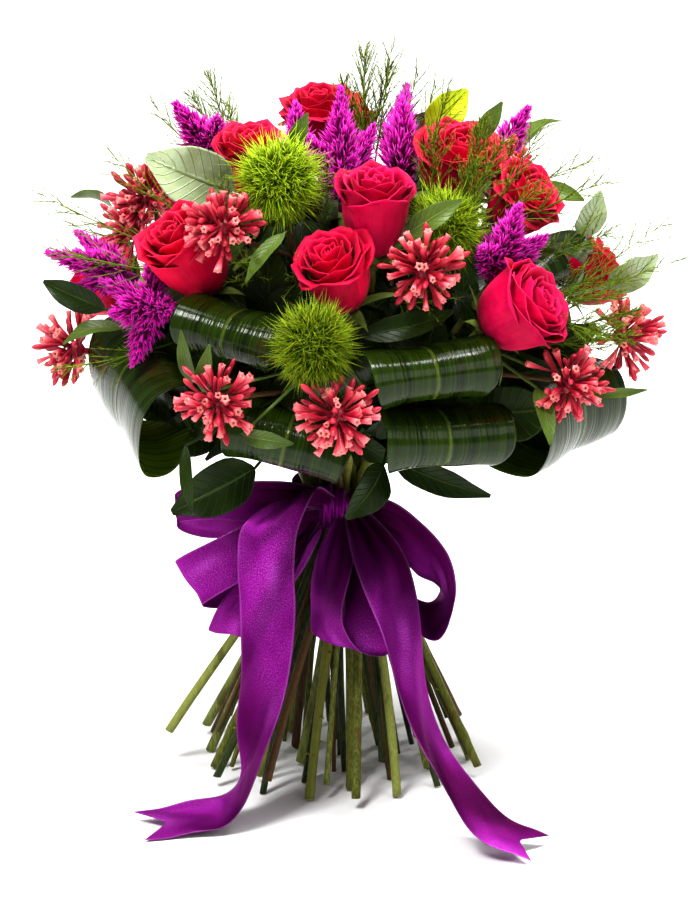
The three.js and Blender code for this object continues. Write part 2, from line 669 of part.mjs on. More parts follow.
// Under the binding the stems are pressed together until they meet.
const pressed = tube(
  [-0.5, 0.5].map((side) => ({
    at: V(0, 0, TIE_HEIGHT + side * PRESSED_HEIGHT),
    along: UP,
    radius: TIE_RADIUS - 4,
  })),
  12,
);
const bundle = joined([pressed, ...stems.map((s) => s.solid), ...branches, ...LEAVES.map(looseLeaf)]);

// ---- binding and ribbon --------------------------------------------------------------------------------

/** A closed ring round the waist from an inner and an outer radius over a height. */
function waistRing(inner, outer, height, sides) {
  const half = height / 2;
  const profile = [[inner, -half], [outer, -half], [outer, half], [inner, half], [inner, -half]];
  const lathe = new THREE.LatheGeometry(profile.map(([r, z]) => new THREE.Vector2(r, z)), sides);
  return solidOf(lathe.rotateX(Math.PI / 2)).translate([0, 0, TIE_HEIGHT]);
}

/**
 * A strip of ribbon. stations are [x, y, z, azimuth, elevation, width share]: points on the strip's middle,
 * and the direction of its width there. notch is how deep its end is cut into two tips, as a share of it.
 */
function ribbon(stations, across, along, notch = 0) {
  const middle = new THREE.CatmullRomCurve3(stations.map(([x, y, z]) => V(x, y, z)), false, "centripetal");
  const width = new THREE.CatmullRomCurve3(stations.map(([, , , a, e, w]) => aim(a, e).multiplyScalar(w)));
  const surface = (u, v) => {
    const t = v - notch * (1 - Math.abs(2 * u - 1)) * v ** 12;
    return middle.getPoint(t).addScaledVector(width.getPoint(t), (u - 0.5) * RIBBON_WIDTH);
  };
  return blade(surface, across, along, RIBBON_THICKNESS);
}

const KNOT = V(-3, -42, TIE_HEIGHT + 6);

/** The gathered knot from which the loops of the bow spring. */
function bowKnot() {
  const lump = new THREE.OctahedronGeometry(1, 1).scale(11, 6.5, 10);
  return solidOf(lump.translate(KNOT.x, KNOT.y, KNOT.z));
}

const BOW_LOOPS = {
  upper_left: [
    [-8, -42, 194, 90, 70, 0.4], [-40, -50, 194, -20, 66, 0.8], [-84, -48, 196, -10, 60, 1],
    [-108, -36, 184, 0, 50, 1], [-92, -26, 174, 0, 50, 1], [-50, -34, 180, -20, 60, 0.8],
    [-8, -40, 188, 90, 70, 0.4],
  ],
  lower_left: [
    [-8, -40, 186, 60, 60, 0.4], [-34, -50, 176, 20, 66, 0.8], [-72, -56, 158, 14, 62, 0.9],
    [-98, -54, 142, 16, 62, 0.9], [-88, -42, 136, 16, 62, 0.9], [-52, -40, 152, 20, 64, 0.8],
    [-8, -39, 180, 60, 60, 0.4],
  ],
  centre: [
    [2, -46, 186, 90, 10, 0.4], [2, -70, 150, 80, -10, 0.9], [6, -82, 112, 70, -18, 1],
    [12, -74, 98, 66, -18, 1], [16, -62, 114, 70, -12, 1], [12, -52, 150, 84, 0, 0.8],
    [4, -43, 182, 90, 10, 0.4],
  ],
  right: [
    [2, -43, 192, 90, 76, 0.4], [38, -52, 178, 0, 70, 0.8], [68, -52, 150, 20, 40, 1],
    [76, -44, 122, 30, 16, 1], [66, -36, 108, 34, 10, 1], [54, -36, 130, 30, 30, 0.9],
    [30, -40, 164, 60, 50, 0.7], [2, -41, 186, 90, 76, 0.4],
  ],
};
const TAILS = {
  left: [
    [-14, -60, 174, 84, 16, 0.7], [-42, -78, 156, 84, 8, 1], [-52, -92, 124, 80, 0, 1],
    [-48, -104, 88, 70, 0, 1], [-50, -116, 56, 58, -4, 1], [-60, -127, 28, 34, -6, 1],
    [-76, -131, 11, 18, -8, 1], [-102, -137, 6, 14, -6, 1], [-130, -142, 3.5, 14, -2, 1],
  ],
  right: [
    [24, -66, 170, 90, 0, 0.7], [33, -86, 150, 94, 0, 1], [41, -106, 122, 104, 0, 1],
    [50, -128, 90, 118, 0, 1], [62, -148, 58, 128, 0, 1], [80, -166, 34, 138, 2, 1],
    [100, -176, 16, 150, 4, 1], [128, -182, 4, 160, 3, 1],
  ],
};

const twine = waistRing(TIE_RADIUS + 1, TIE_RADIUS + 2.6, 10, 12);
const band = waistRing(TIE_RADIUS + 3.4, TIE_RADIUS + 4.4, WAIST_LENGTH, 16);
const bow = joined([bowKnot(), ...Object.values(BOW_LOOPS).map((stations) => ribbon(stations, 1, 10))]);

// ---- the scene graph -----------------------------------------------------------------------------------

/** A mesh from a solid, in its own place. */
function meshOf(name, solid, look) {
  const made = solid.getMesh();
  const geometry = new THREE.BufferGeometry();
  geometry.setAttribute("position", new THREE.BufferAttribute(new Float32Array(made.vertProperties), 3));
  geometry.setIndex(new THREE.BufferAttribute(new Uint32Array(made.triVerts), 1));
  const mesh = new THREE.Mesh(geometry, new THREE.MeshStandardMaterial({ metalness: 0, ...look }));
  mesh.name = name;
  return mesh;
}

const TWINE_LOOK = { color: 0x8a7448, roughness: 0.9 };
const SATIN_LOOK = { color: 0x7a0c8c, roughness: 0.35 };

const bouquet = new THREE.Group();
for (const { head, solid } of placed) bouquet.add(meshOf(head.name, solid, head.colour));
bouquet.add(meshOf("stems", bundle, { color: 0x5d7a2a, roughness: 0.6 }));
bouquet.add(meshOf("binding_twine", twine, TWINE_LOOK));
bouquet.add(meshOf("ribbon_band", band, SATIN_LOOK));
bouquet.add(meshOf("ribbon_bow", bow, SATIN_LOOK));
bouquet.add(meshOf("ribbon_tail_left", ribbon(TAILS.left, 2, 10, TAIL_NOTCH), SATIN_LOOK));
bouquet.add(meshOf("ribbon_tail_right", ribbon(TAILS.right, 2, 10, TAIL_NOTCH), SATIN_LOOK));

export default bouquet;
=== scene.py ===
"""A rose bouquet, hand-tied in a spiral and bound with a satin bow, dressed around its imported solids.

Every shape is a surface of two parameters, or a section carried along a path, worked out as whole arrays.
Sizes are in millimetres until a piece is written to its mesh, which is in metres. Azimuths are degrees from
the front (-Y) toward +X, and elevations are degrees above the horizontal.
"""

import logging
import sys
from dataclasses import dataclass, field
from enum import Enum
from typing import ClassVar

import bpy
import numpy as np
from mathutils import Euler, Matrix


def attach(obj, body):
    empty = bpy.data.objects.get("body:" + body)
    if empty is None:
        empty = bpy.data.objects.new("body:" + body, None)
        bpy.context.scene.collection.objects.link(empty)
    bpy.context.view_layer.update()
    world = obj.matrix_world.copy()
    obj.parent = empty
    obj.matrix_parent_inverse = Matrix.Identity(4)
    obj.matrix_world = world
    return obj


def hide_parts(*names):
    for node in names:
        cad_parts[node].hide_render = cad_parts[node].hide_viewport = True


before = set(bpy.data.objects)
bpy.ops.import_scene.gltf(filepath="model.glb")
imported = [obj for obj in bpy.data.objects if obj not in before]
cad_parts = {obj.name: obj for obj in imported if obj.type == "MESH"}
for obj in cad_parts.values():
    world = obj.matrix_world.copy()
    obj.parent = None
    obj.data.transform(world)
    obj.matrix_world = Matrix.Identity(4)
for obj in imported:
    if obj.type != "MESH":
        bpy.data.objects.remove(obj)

Array = np.ndarray
Draws = np.random.Generator
Socket = bpy.types.NodeSocket
Colour = tuple[float, float, float]

LOG = logging.getLogger("rose_bouquet")
MM = 0.001
BODY = "root"
GOLDEN_ANGLE = np.radians(137.508)
UP = np.array([0.0, 0.0, 1.0])

TIE_HEIGHT = 184.0
TIE_RADIUS = 28.0
WAIST_LENGTH = 24.0
FOOT_SPREAD = 4.7
FOOT_TWIST = -24.0
LEVEL_CUT = 94.0
SHORT_CUT_SLOPE = 0.9
RIBBON_WIDTH = 38.0
RIBBON_THICKNESS = 0.35
PETAL_THICKNESS = 0.5
LEAF_THICKNESS = 0.45
BLADE_THICKNESS = 0.55


class Slot(Enum):
    """The material slots. The twine keeps its solid's own."""

    ROSE = "rose_petal"
    DIANTHUS = "dianthus_green"
    CELOSIA = "celosia_plume"
    TRUMPET = "trumpet_flower"
    ASPIDISTRA = "aspidistra_leaf"
    FERN = "fern_green"
    STEM = "stem_green"
    SATIN = "satin"


# ---- vectors and curves ----


def unit(vectors: Array) -> Array:
    """Each vector at length one."""
    return vectors / np.maximum(np.linalg.norm(vectors, axis=-1, keepdims=True), 1e-9)


def aim(azimuth: float, elevation: float) -> Array:
    """The direction of an azimuth and an elevation, both in degrees, as one vector or an array of them."""
    a, e = np.radians(azimuth), np.radians(elevation)
    return np.stack([np.sin(a) * np.cos(e), -np.cos(a) * np.cos(e), np.sin(e) + 0 * a], axis=-1)


def smooth(x: Array, low: float, high: float) -> Array:
    """A soft step: 0 below low, 1 above high, and 3t^2 - 2t^3 between."""
    t = np.clip((x - low) / (high - low), 0.0, 1.0)
    return t * t * (3.0 - 2.0 * t)


def lerp(a: Array, b: Array, t: Array) -> Array:
    """A share t of the way from a to b."""
    return a + (b - a) * t


def stacked(*parts: Array) -> Array:
    """Numbers over one grid, stacked as its last axis."""
    return np.stack(np.broadcast_arrays(*parts), axis=-1)


def about_z(angle: Array, level: Array = 1.0, height: Array = 0.0) -> Array:
    """Points at an angle in radians round the z axis, at a distance from it and at a height."""
    return stacked(level * np.cos(angle), level * np.sin(angle), height)


def circle(sides: int) -> Array:
    """The angles of a ring's spokes."""
    return 2 * np.pi * np.arange(sides) / sides


def running(steps: Array, axis: int = -1) -> Array:
    """The running total of steps along an axis, from zero."""
    return np.insert(np.cumsum(steps, axis=axis), 0, 0.0, axis=axis)


def lengths(paths: Array, axis: int) -> Array:
    """The length of each step along an axis of paths."""
    return np.linalg.norm(np.diff(paths, axis=axis), axis=-1)


def spline(points: Array, shares: Array, centripetal: bool = True) -> Array:
    """Catmull-Rom curve through points, sampled at shares of its number of spans.

    Each span is the cubic whose tangents are the finite differences at its ends. With centripetal knots the
    knot spacing is the square root of the distance between points, otherwise it is even.

    Args:
        points: the curve's points, (k, d).
        shares: where to sample, 0 at the first point and 1 at the last.
        centripetal: whether the knots are spaced by distance.

    Returns:
        The samples, (len(shares), d).
    """
    points = np.asarray(points, float)
    ends = [2 * points[0] - points[1], *points, 2 * points[-1] - points[-2]]
    p = np.array(ends)
    spans = len(points) - 1
    place = np.clip(shares, 0.0, 1.0) * spans
    k = np.minimum(place.astype(int), spans - 1)
    t = (place - k)[:, None]
    gap = np.linalg.norm(np.diff(p[:, :3], axis=0), axis=1) if centripetal else np.ones(len(p) - 1)
    knot = np.sqrt(np.maximum(gap, 1e-4))[:, None]
    d0, d1, d2 = knot[k], knot[k + 1], knot[k + 2]
    p0, p1, p2, p3 = p[k], p[k + 1], p[k + 2], p[k + 3]
    m1 = ((p1 - p0) / d0 - (p2 - p0) / (d0 + d1) + (p2 - p1) / d1) * d1
    m2 = ((p2 - p1) / d1 - (p3 - p1) / (d1 + d2) + (p3 - p2) / d2) * d1
    a = 2 * p1 - 2 * p2 + m1 + m2
    b = -3 * p1 + 3 * p2 - 2 * m1 - m2
    return ((a * t + b) * t + m1) * t + p1


def edged(count: int, edge: float) -> Array:
    """Shares from 0 to 1 in even steps, with one more close to each end so that rims stay crisp."""
    return np.array([0.0, edge, *np.linspace(0, 1, count)[1:-1], 1.0 - edge, 1.0])


def rings_across(
    paths: Array, radii: Array, sides: int, helper: Array, flat: float = 1.0
) -> Array:
    """Rings across paths, square to the tangent, from a path's first point on.

    The first spoke is the part of a cross direction that is square to the tangent. The cross direction is the
    cross product of the path's whole way and the helper.

    Args:
        paths: (n, m, 3).
        radii: of the rings, (n, k) with k at most m.
        sides: of a ring.
        helper: (3,) or (n, 3).
        flat: the second spoke's length against the first one's.

    Returns:
        (n, k, sides, 3).
    """
    count = radii.shape[1]
    tangent = unit(np.gradient(paths, axis=1))[:, :count]
    across = unit(np.cross(unit(paths[:, -1] - paths[:, 0]), helper))[:, None]
    first = unit(across - np.sum(across * tangent, -1, keepdims=True) * tangent)
    second = np.cross(tangent, first) * flat
    a = circle(sides)[:, None]
    spokes = np.cos(a) * first[:, :, None] + np.sin(a) * second[:, :, None]
    return paths[:, :count, None] + spokes * radii[..., None, None]


@dataclass(frozen=True)
class Pose:
    """A place and a turn: local z along the way it faces."""

    origin: Array
    axes: Array

    @classmethod
    def facing(cls, origin: Array, azimuth: float, elevation: float, roll: float = 0.0) -> "Pose":
        """Local z along the azimuth and elevation, local x level, both turned by roll about z.

        Args:
            origin: where local zero stands.
            azimuth: degrees from the front.
            elevation: degrees above the horizontal.
            roll: degrees about local z.

        Returns:
            The pose.
        """
        a, r = np.radians(azimuth), np.radians(roll)
        z = aim(azimuth, elevation)
        level = np.array([np.cos(a), np.sin(a), 0.0])
        rise = np.cross(z, level)
        x = level * np.cos(r) + rise * np.sin(r)
        return cls(np.asarray(origin, float), np.array([x, np.cross(z, x), z]))

    def place(self, points: Array) -> Array:
        """Local points, placed."""
        return self.origin + points @ self.axes


# ---- meshes ----


def added(name: str, data: object) -> bpy.types.Object:
    """A new object in the scene, with this mesh, light or camera."""
    made = bpy.data.objects.new(name, data)
    bpy.context.scene.collection.objects.link(made)
    return made


def cells(grid: Array) -> Array:
    """The four corners of each cell of a grid of point numbers, turning from the columns to the rows."""
    return np.stack([grid[:-1, :-1], grid[:-1, 1:], grid[1:, 1:], grid[1:, :-1]], axis=-1).reshape(-1, 4)


class Surface:
    """Gathers the closed shells and tubes of one piece, in millimetres."""

    def __init__(self) -> None:
        """Starts with no vertices."""
        self.points: list[Array] = []
        self.uvs: list[Array] = []
        self.tones: list[Array] = []
        self.faces: dict[int, list[Array]] = {3: [], 4: []}
        self.count = 0

    def _put(self, points: Array, uv: Array, tone: Array, faces: list[Array]) -> None:
        """Adds n like elements.

        Args:
            points: (n, k, 3).
            uv: (n, k, 2).
            tone: one number for each element, (n,), or for each point, (n, k).
            faces: arrays of corner numbers within one element, (f, 3) or (f, 4).
        """
        n, k = points.shape[:2]
        start = self.count + np.arange(n)[:, None, None] * k
        for corners in faces:
            sides = corners.shape[1]
            self.faces[sides].append((start + corners[None]).reshape(-1, sides))
        self.points.append(points.reshape(-1, 3))
        self.uvs.append(np.broadcast_to(uv, (n, k, 2)).reshape(-1, 2))
        tone = np.asarray(tone, float)
        self.tones.append(np.broadcast_to(tone if tone.ndim == 2 else tone.reshape(-1, 1), (n, k)).ravel())
        self.count += n * k

    def sheets(
        self, front: Array, thickness: float, uv: Array, tone: Array = 0.0, under: float = 0.0
    ) -> None:
        """Thin closed shells, each from a grid of its front.

        The back is the front moved against its normal by the thickness, and both share the rim.

        Args:
            front: (n, rows, columns, 3), facing the side that columns x rows points to.
            thickness: in millimetres, a number or an array over the grid.
            uv: (rows, columns, 2) or with n in front.
            tone: one number for each sheet, or over the grid, (n, rows, columns).
            under: what is added to the tone on the back.
        """
        n, rows, columns = front.shape[:3]
        normal = unit(np.cross(np.gradient(front, axis=2), np.gradient(front, axis=1)))
        deep = np.broadcast_to(thickness, front.shape[:3])[..., None]
        back = (front - normal * deep)[:, 1:-1, 1:-1].reshape(n, -1, 3)
        uv = np.broadcast_to(uv, (n, rows, columns, 2))
        ahead = np.arange(rows * columns).reshape(rows, columns)
        behind = ahead.copy()
        behind[1:-1, 1:-1] = rows * columns + np.arange(back.shape[1]).reshape(rows - 2, columns - 2)
        tone = np.asarray(tone, float)
        tone = np.broadcast_to(tone if tone.ndim == 3 else tone.reshape(-1, 1, 1), (n, rows, columns))
        self._put(
            np.concatenate([front.reshape(n, -1, 3), back], axis=1),
            np.concatenate([uv.reshape(n, -1, 2), uv[:, 1:-1, 1:-1].reshape(n, -1, 2)], axis=1),
            np.concatenate([tone.reshape(n, -1), tone[:, 1:-1, 1:-1].reshape(n, -1) + under], axis=1),
            [cells(ahead), cells(behind)[:, ::-1]],
        )

    def rounds(self, rings: Array, ends: Array, along: Array, tone: Array = 0.0) -> None:
        """Closed bodies of stacked rings with a pole at each end.

        Args:
            rings: (n, m, sides, 3), counter-clockwise seen from the last ring.
            ends: the two poles, (n, 2, 3).
            along: the lengthwise value of the first pole, of each ring and of the last pole, (m + 2,) or
                (n, m + 2).
            tone: one number for each body.
        """
        n, m, sides = rings.shape[:3]
        grid = np.arange(m * sides).reshape(m, sides)
        quads = cells(np.concatenate([grid, grid[:, :1]], axis=1))
        k = np.arange(sides)
        after = (k + 1) % sides
        last = (m - 1) * sides
        foot = np.stack([np.full(sides, m * sides), after, k], -1)
        tip = np.stack([np.full(sides, m * sides + 1), last + k, last + after], -1)
        along = np.broadcast_to(along, (n, m + 2))
        v = np.concatenate([np.repeat(along[:, 1:-1], sides, axis=1), along[:, [0, -1]]], axis=1)
        u = np.concatenate([np.tile(k / sides, m), [0.5, 0.5]])
        uv = np.stack([np.broadcast_to(u, v.shape), v], -1)
        points = np.concatenate([rings.reshape(n, -1, 3), ends], axis=1)
        self._put(points, uv, tone, [quads, foot, tip])

    def tubes(
        self,
        paths: Array,
        radii: Array,
        sides: int,
        tone: Array = 0.0,
        along: Array | None = None,
        flat: float = 1.0,
    ) -> None:
        """Closed tubes along paths. The last point of a path is its tip, and has no ring.

        Args:
            paths: (n, m, 3).
            radii: of each ring, (m - 1,) or (n, m - 1).
            sides: of a ring.
            tone: one number for each tube.
            along: the lengthwise value at each path point, (m,); the share of its length if not given.
            flat: the second spoke's length against the first one's.
        """
        n, m = paths.shape[:2]
        way = unit(paths[:, -1] - paths[:, 0])
        helper = np.where(np.abs(way[:, 2:3]) < 0.9, UP, np.array([1.0, 0.0, 0.0]))
        rings = rings_across(paths, np.broadcast_to(radii, (n, m - 1)), sides, helper, flat)
        along = np.linspace(0, 1, m) if along is None else along
        self.rounds(rings, paths[:, [0, -1]], np.array([along[0], *along]), tone)

    def write(self, name: str, material: bpy.types.Material, slot: Slot, *nodes: str) -> bpy.types.Object:
        """Writes the gathered shells as one piece of the bouquet.

        Args:
            name: the piece's name.
            material: its finish.
            slot: the material slot that it stands for; not used.
            nodes: the solids that it replaces.

        Returns:
            The piece's object, at the origin with its place in its mesh.
        """
        mesh = bpy.data.meshes.new(name)
        corners = [np.concatenate(f) for f in self.faces.values() if f]
        loops = np.concatenate([c.ravel() for c in corners]).astype(np.int32)
        sizes = np.concatenate([np.full(len(c), c.shape[1]) for c in corners])
        starts = (np.cumsum(sizes) - sizes).astype(np.int32)
        mesh.vertices.add(self.count)
        mesh.vertices.foreach_set("co", (np.concatenate(self.points) * MM).astype(np.float32).ravel())
        mesh.loops.add(len(loops))
        mesh.loops.foreach_set("vertex_index", loops)
        mesh.polygons.add(len(starts))
        mesh.polygons.foreach_set("loop_start", starts)
        mesh.update(calc_edges=True)
        mesh.polygons.foreach_set("use_smooth", np.ones(len(starts), bool))
        uv = np.concatenate(self.uvs)[loops].astype(np.float32)
        mesh.uv_layers.new(name="UVMap").data.foreach_set("uv", uv.ravel())
        tone = mesh.attributes.new("tone", "FLOAT", "POINT")
        tone.data.foreach_set("value", np.concatenate(self.tones).astype(np.float32))
        mesh.validate()
        mesh.materials.append(material)
        piece = added(name, mesh)
        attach(piece, BODY)
        if nodes:
            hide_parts(*nodes)
        LOG.info("%s: %d triangles", name, int(np.sum(sizes - 2)))
        return piece


# ---- finishes ----


class Look:
    """A material's node tree under one principled shader, with short calls for what the finishes share."""

    def __init__(self, name: str) -> None:
        """Starts a material of this name with an output and a shader."""
        self.material = bpy.data.materials.new(name)
        self.material.use_nodes = True
        self.tree = self.material.node_tree
        self.tree.nodes.clear()
        self.shader = self.tree.nodes.new("ShaderNodeBsdfPrincipled")
        output = self.tree.nodes.new("ShaderNodeOutputMaterial")
        self.tree.links.new(self.shader.outputs[0], output.inputs["Surface"])

    def node(self, kind: str, inputs: dict[str | int, object], **settings: object) -> bpy.types.Node:
        """A node with its settings, and its inputs linked or set.

        Args:
            kind: the node's type, without "ShaderNode".
            inputs: a socket or a value for each named input.
            settings: the node's own properties.

        Returns:
            The node.
        """
        made = self.tree.nodes.new("ShaderNode" + kind)
        for key, value in settings.items():
            setattr(made, key, value)
        for key, value in inputs.items():
            self.feed(made.inputs[key], value)
        return made

    def feed(self, socket: Socket, value: object) -> None:
        """Links a socket to another one, or sets its value. A colour of three numbers is made opaque."""
        if isinstance(value, Socket):
            self.tree.links.new(value, socket)
        else:
            opaque = socket.type == "RGBA" and len(value) == 3
            socket.default_value = (*value, 1.0) if opaque else value

    def math(self, operation: str, a: object, b: object = 0.0) -> Socket:
        """One arithmetic step."""
        return self.node("Math", {0: a, 1: b}, operation=operation).outputs[0]

    def tone(self) -> Socket:
        """The number that each leaf, petal, bristle or point of the ribbon carries; on the ribbon and the
        dianthus balls it also carries painted shade.
        """
        return self.node("Attribute", {}, attribute_name="tone").outputs["Fac"]

    def uv(self) -> Socket:
        """The piece's own map: across, and along."""
        return self.node("UVMap", {}, uv_map="UVMap").outputs[0]

    def across(self) -> Socket:
        """The map's first number."""
        return self.node("SeparateXYZ", {0: self.uv()}).outputs[0]

    def along(self) -> Socket:
        """The map's second number."""
        return self.node("SeparateXYZ", {0: self.uv()}).outputs[1]

    def place(self) -> Socket:
        """The point on the piece, in metres."""
        return self.node("TexCoord", {}).outputs["Object"]

    def scaled(self, vector: Socket, scale: Colour) -> Socket:
        """A vector stretched along its axes."""
        return self.node("Mapping", {"Vector": vector, "Scale": scale}).outputs[0]

    def noise(self, vector: Socket, scale: float, detail: float = 2.0) -> Socket:
        """Soft noise from 0 to 1."""
        inputs = {"Vector": vector, "Scale": scale, "Detail": detail}
        return self.node("TexNoise", inputs).outputs["Fac"]

    def ramp(self, factor: Socket, stops: list[tuple[float, Colour]]) -> Socket:
        """Colours at places along a factor."""
        made = self.node("ValToRGB", {"Fac": factor})
        elements = made.color_ramp.elements
        while len(elements) < len(stops):
            elements.new(0.5)
        for element, (place, colour) in zip(elements, stops):
            element.position = place
            element.color = (*colour, 1.0)
        return made.outputs["Color"]

    def range(
        self, factor: Socket, low: float, high: float, to: tuple[float, float]
    ) -> Socket:
        """A factor moved from one range to another and held there."""
        inputs = {"Value": factor, 1: low, 2: high, 3: to[0], 4: to[1]}
        return self.node("MapRange", inputs).outputs[0]

    def mix(self, factor: object, a: object, b: object) -> Socket:
        """Colour a turned toward colour b."""
        return self.node("Mix", {0: factor, 6: a, 7: b}, data_type="RGBA").outputs[2]

    def bump(self, height: Socket, distance: float, strength: float = 1.0) -> None:
        """Raises the surface by a height from 0 to 1, in millimetres, over any bump already there."""
        inputs = {"Height": height, "Distance": distance * MM, "Strength": strength}
        made = self.node("Bump", inputs)
        normal = self.shader.inputs["Normal"]
        if normal.is_linked:
            self.feed(made.inputs["Normal"], normal.links[0].from_socket)
        self.feed(normal, made.outputs[0])

    def finish(self, colour: object, roughness: object, **constants: float) -> bpy.types.Material:
        """Links the colour and roughness and sets the shader's constants.

        Args:
            colour: a socket.
            roughness: a socket or a number.
            constants: the shader's other inputs, with underscores for spaces.

        Returns:
            The material.
        """
        self.feed(self.shader.inputs["Base Color"], colour)
        self.feed(self.shader.inputs["Roughness"], roughness)
        for key, value in constants.items():
            self.feed(self.shader.inputs[key.replace("_", " ")], value)
        return self.material


@dataclass(frozen=True)
class PetalFinish:
    """Velvet petals: deeper at the base and in some petals, with fine lengthwise veins."""

    name: str
    deep: Colour
    body: Colour
    edge: Colour

    def material(self) -> bpy.types.Material:
        """Builds the material."""
        look = Look(self.name)
        uv = look.uv()
        stops = [(0.0, self.deep), (0.45, self.body), (0.93, self.body), (1.0, self.edge)]
        body = look.ramp(look.along(), stops)
        veins = look.noise(look.scaled(uv, (46.0, 2.4, 1.0)), 1.0, 3.0)
        clouds = look.noise(look.place(), 120.0, 2.0)
        body = look.mix(look.tone(), body, self.deep)
        body = look.mix(look.range(veins, 0.45, 0.75, (0.0, 0.35)), body, self.deep)
        body = look.mix(look.range(clouds, 0.45, 0.75, (0.0, 0.3)), body, self.edge)
        look.bump(veins, 0.2)
        look.bump(look.noise(look.place(), 900.0), 0.05)
        rough = look.range(clouds, 0.3, 0.7, (0.42, 0.6))
        return look.finish(
            body, rough, Sheen_Weight=0.03, Sheen_Roughness=0.4, Specular_IOR_Level=0.1,
            Subsurface_Weight=0.1, Subsurface_Scale=0.003,
        )


@dataclass(frozen=True)
class GrowthFinish:
    """Slender parts that change colour from root to tip, each a little different from the next."""

    name: str
    stops: tuple[tuple[float, Colour], ...]
    shade: Colour
    shading: float = 0.45
    roughness: float = 0.5
    sheen: float = 0.0
    gloss: float = 0.4

    def material(self) -> bpy.types.Material:
        """Builds the material."""
        look = Look(self.name)
        colour = look.ramp(look.along(), list(self.stops))
        share = look.range(look.tone(), 0.0, 1.0, (0.0, self.shading))
        colour = look.mix(share, colour, self.shade)
        grain = look.noise(look.place(), 700.0, 2.0)
        colour = look.mix(look.range(grain, 0.35, 0.7, (0.0, 0.3)), colour, self.shade)
        look.bump(grain, 0.12)
        rough = look.range(grain, 0.3, 0.7, (self.roughness - 0.08, self.roughness + 0.1))
        return look.finish(
            colour, rough, Sheen_Weight=self.sheen, Specular_IOR_Level=self.gloss,
            Subsurface_Weight=0.1, Subsurface_Scale=0.002,
        )


@dataclass(frozen=True)
class BroadLeafFinish:
    """Leaves with a pale midrib and slanting side veins. The map is across (-1 to 1) and along (0 to 1)."""

    name: str
    dark: Colour
    light: Colour
    rib: Colour
    roughness: float = 0.32
    gloss: float = 0.5

    def material(self) -> bpy.types.Material:
        """Builds the material."""
        look = Look(self.name)
        off = look.math("ABSOLUTE", look.across())
        rise = look.math("MULTIPLY", look.along(), 9.0)
        slant = look.math("SUBTRACT", rise, look.math("MULTIPLY", off, 2.2))
        wave = look.math("ABSOLUTE", look.math("SUBTRACT", look.math("FRACT", slant), 0.5))
        side = look.range(wave, 0.42, 0.5, (0.0, 0.75))
        rib = look.range(off, 0.02, 0.07, (1.0, 0.0))
        vein = look.math("MAXIMUM", side, rib)
        clouds = look.noise(look.place(), 60.0, 3.0)
        colour = look.mix(look.range(look.tone(), 0.0, 1.0, (0.35, 1.0)), self.dark, self.light)
        colour = look.mix(look.range(clouds, 0.4, 0.75, (0.0, 0.7)), colour, self.dark)
        colour = look.mix(look.math("MULTIPLY", vein, 0.55), colour, self.rib)
        look.bump(vein, 0.5)
        look.bump(look.noise(look.place(), 500.0, 2.0), 0.15)
        rough = look.range(clouds, 0.3, 0.7, (self.roughness - 0.06, self.roughness + 0.14))
        return look.finish(colour, rough, Specular_IOR_Level=self.gloss)


@dataclass(frozen=True)
class ParallelLeafFinish:
    """Aspidistra: dark, glossy, finely ribbed, and paler underneath. The map is in millimetres."""

    name: str = "aspidistra_blade"
    dark: Colour = (0.003, 0.008, 0.0005)
    body: Colour = (0.016, 0.034, 0.001)
    light: Colour = (0.055, 0.1, 0.004)
    rib: Colour = (0.12, 0.17, 0.02)
    scorch: Colour = (0.08, 0.04, 0.012)
    under: Colour = (0.13, 0.22, 0.012)

    def material(self) -> bpy.types.Material:
        """Builds the material."""
        look = Look(self.name)
        uv = look.uv()
        fine = look.noise(look.scaled(uv, (0.62, 0.008, 1.0)), 1.0, 2.5)
        broad = look.noise(look.scaled(uv, (0.15, 0.006, 1.0)), 1.0, 2.0)
        clouds = look.noise(look.place(), 26.0, 3.0)
        rib = look.range(look.math("ABSOLUTE", look.across()), 0.7, 1.6, (1.0, 0.0))
        colour = look.mix(look.range(broad, 0.35, 0.68, (0.0, 1.0)), self.dark, self.body)
        colour = look.mix(look.range(fine, 0.52, 0.72, (0.0, 0.35)), colour, self.light)
        colour = look.mix(look.range(clouds, 0.64, 0.78, (0.0, 0.5)), colour, self.scorch)
        colour = look.mix(look.math("MULTIPLY", rib, 0.4), colour, self.rib)
        streaked = look.mix(look.range(fine, 0.35, 0.65, (0.35, 1.0)), self.body, self.under)
        colour = look.mix(look.tone(), colour, streaked)
        look.bump(fine, 0.35)
        look.bump(broad, 0.7)
        look.bump(rib, 0.4)
        rough = look.range(fine, 0.3, 0.7, (0.1, 0.2))
        return look.finish(colour, rough, Specular_IOR_Level=0.2)


@dataclass(frozen=True)
class StemFinish:
    """Stem skin: streaked along the stem, and browner in patches."""

    name: str
    skin: Colour
    streak: Colour
    patch: Colour
    roughness: float = 0.42

    def material(self) -> bpy.types.Material:
        """Builds the material. The map's second number is millimetres from the cut end."""
        look = Look(self.name)
        place = look.place()
        streaks = look.noise(look.scaled(place, (900.0, 900.0, 40.0)), 1.0, 3.0)
        patches = look.noise(look.scaled(place, (90.0, 90.0, 45.0)), 1.0, 3.0)
        colour = look.mix(look.range(streaks, 0.4, 0.7, (0.0, 0.8)), self.skin, self.streak)
        colour = look.mix(look.math("MULTIPLY", look.tone(), 0.7), colour, self.streak)
        colour = look.mix(look.range(patches, 0.56, 0.7, (0.0, 0.8)), colour, self.patch)
        look.bump(streaks, 0.35)
        look.bump(look.noise(place, 1400.0), 0.1)
        rough = look.range(patches, 0.3, 0.7, (self.roughness - 0.08, self.roughness + 0.15))
        return look.finish(colour, rough, Specular_IOR_Level=0.2)


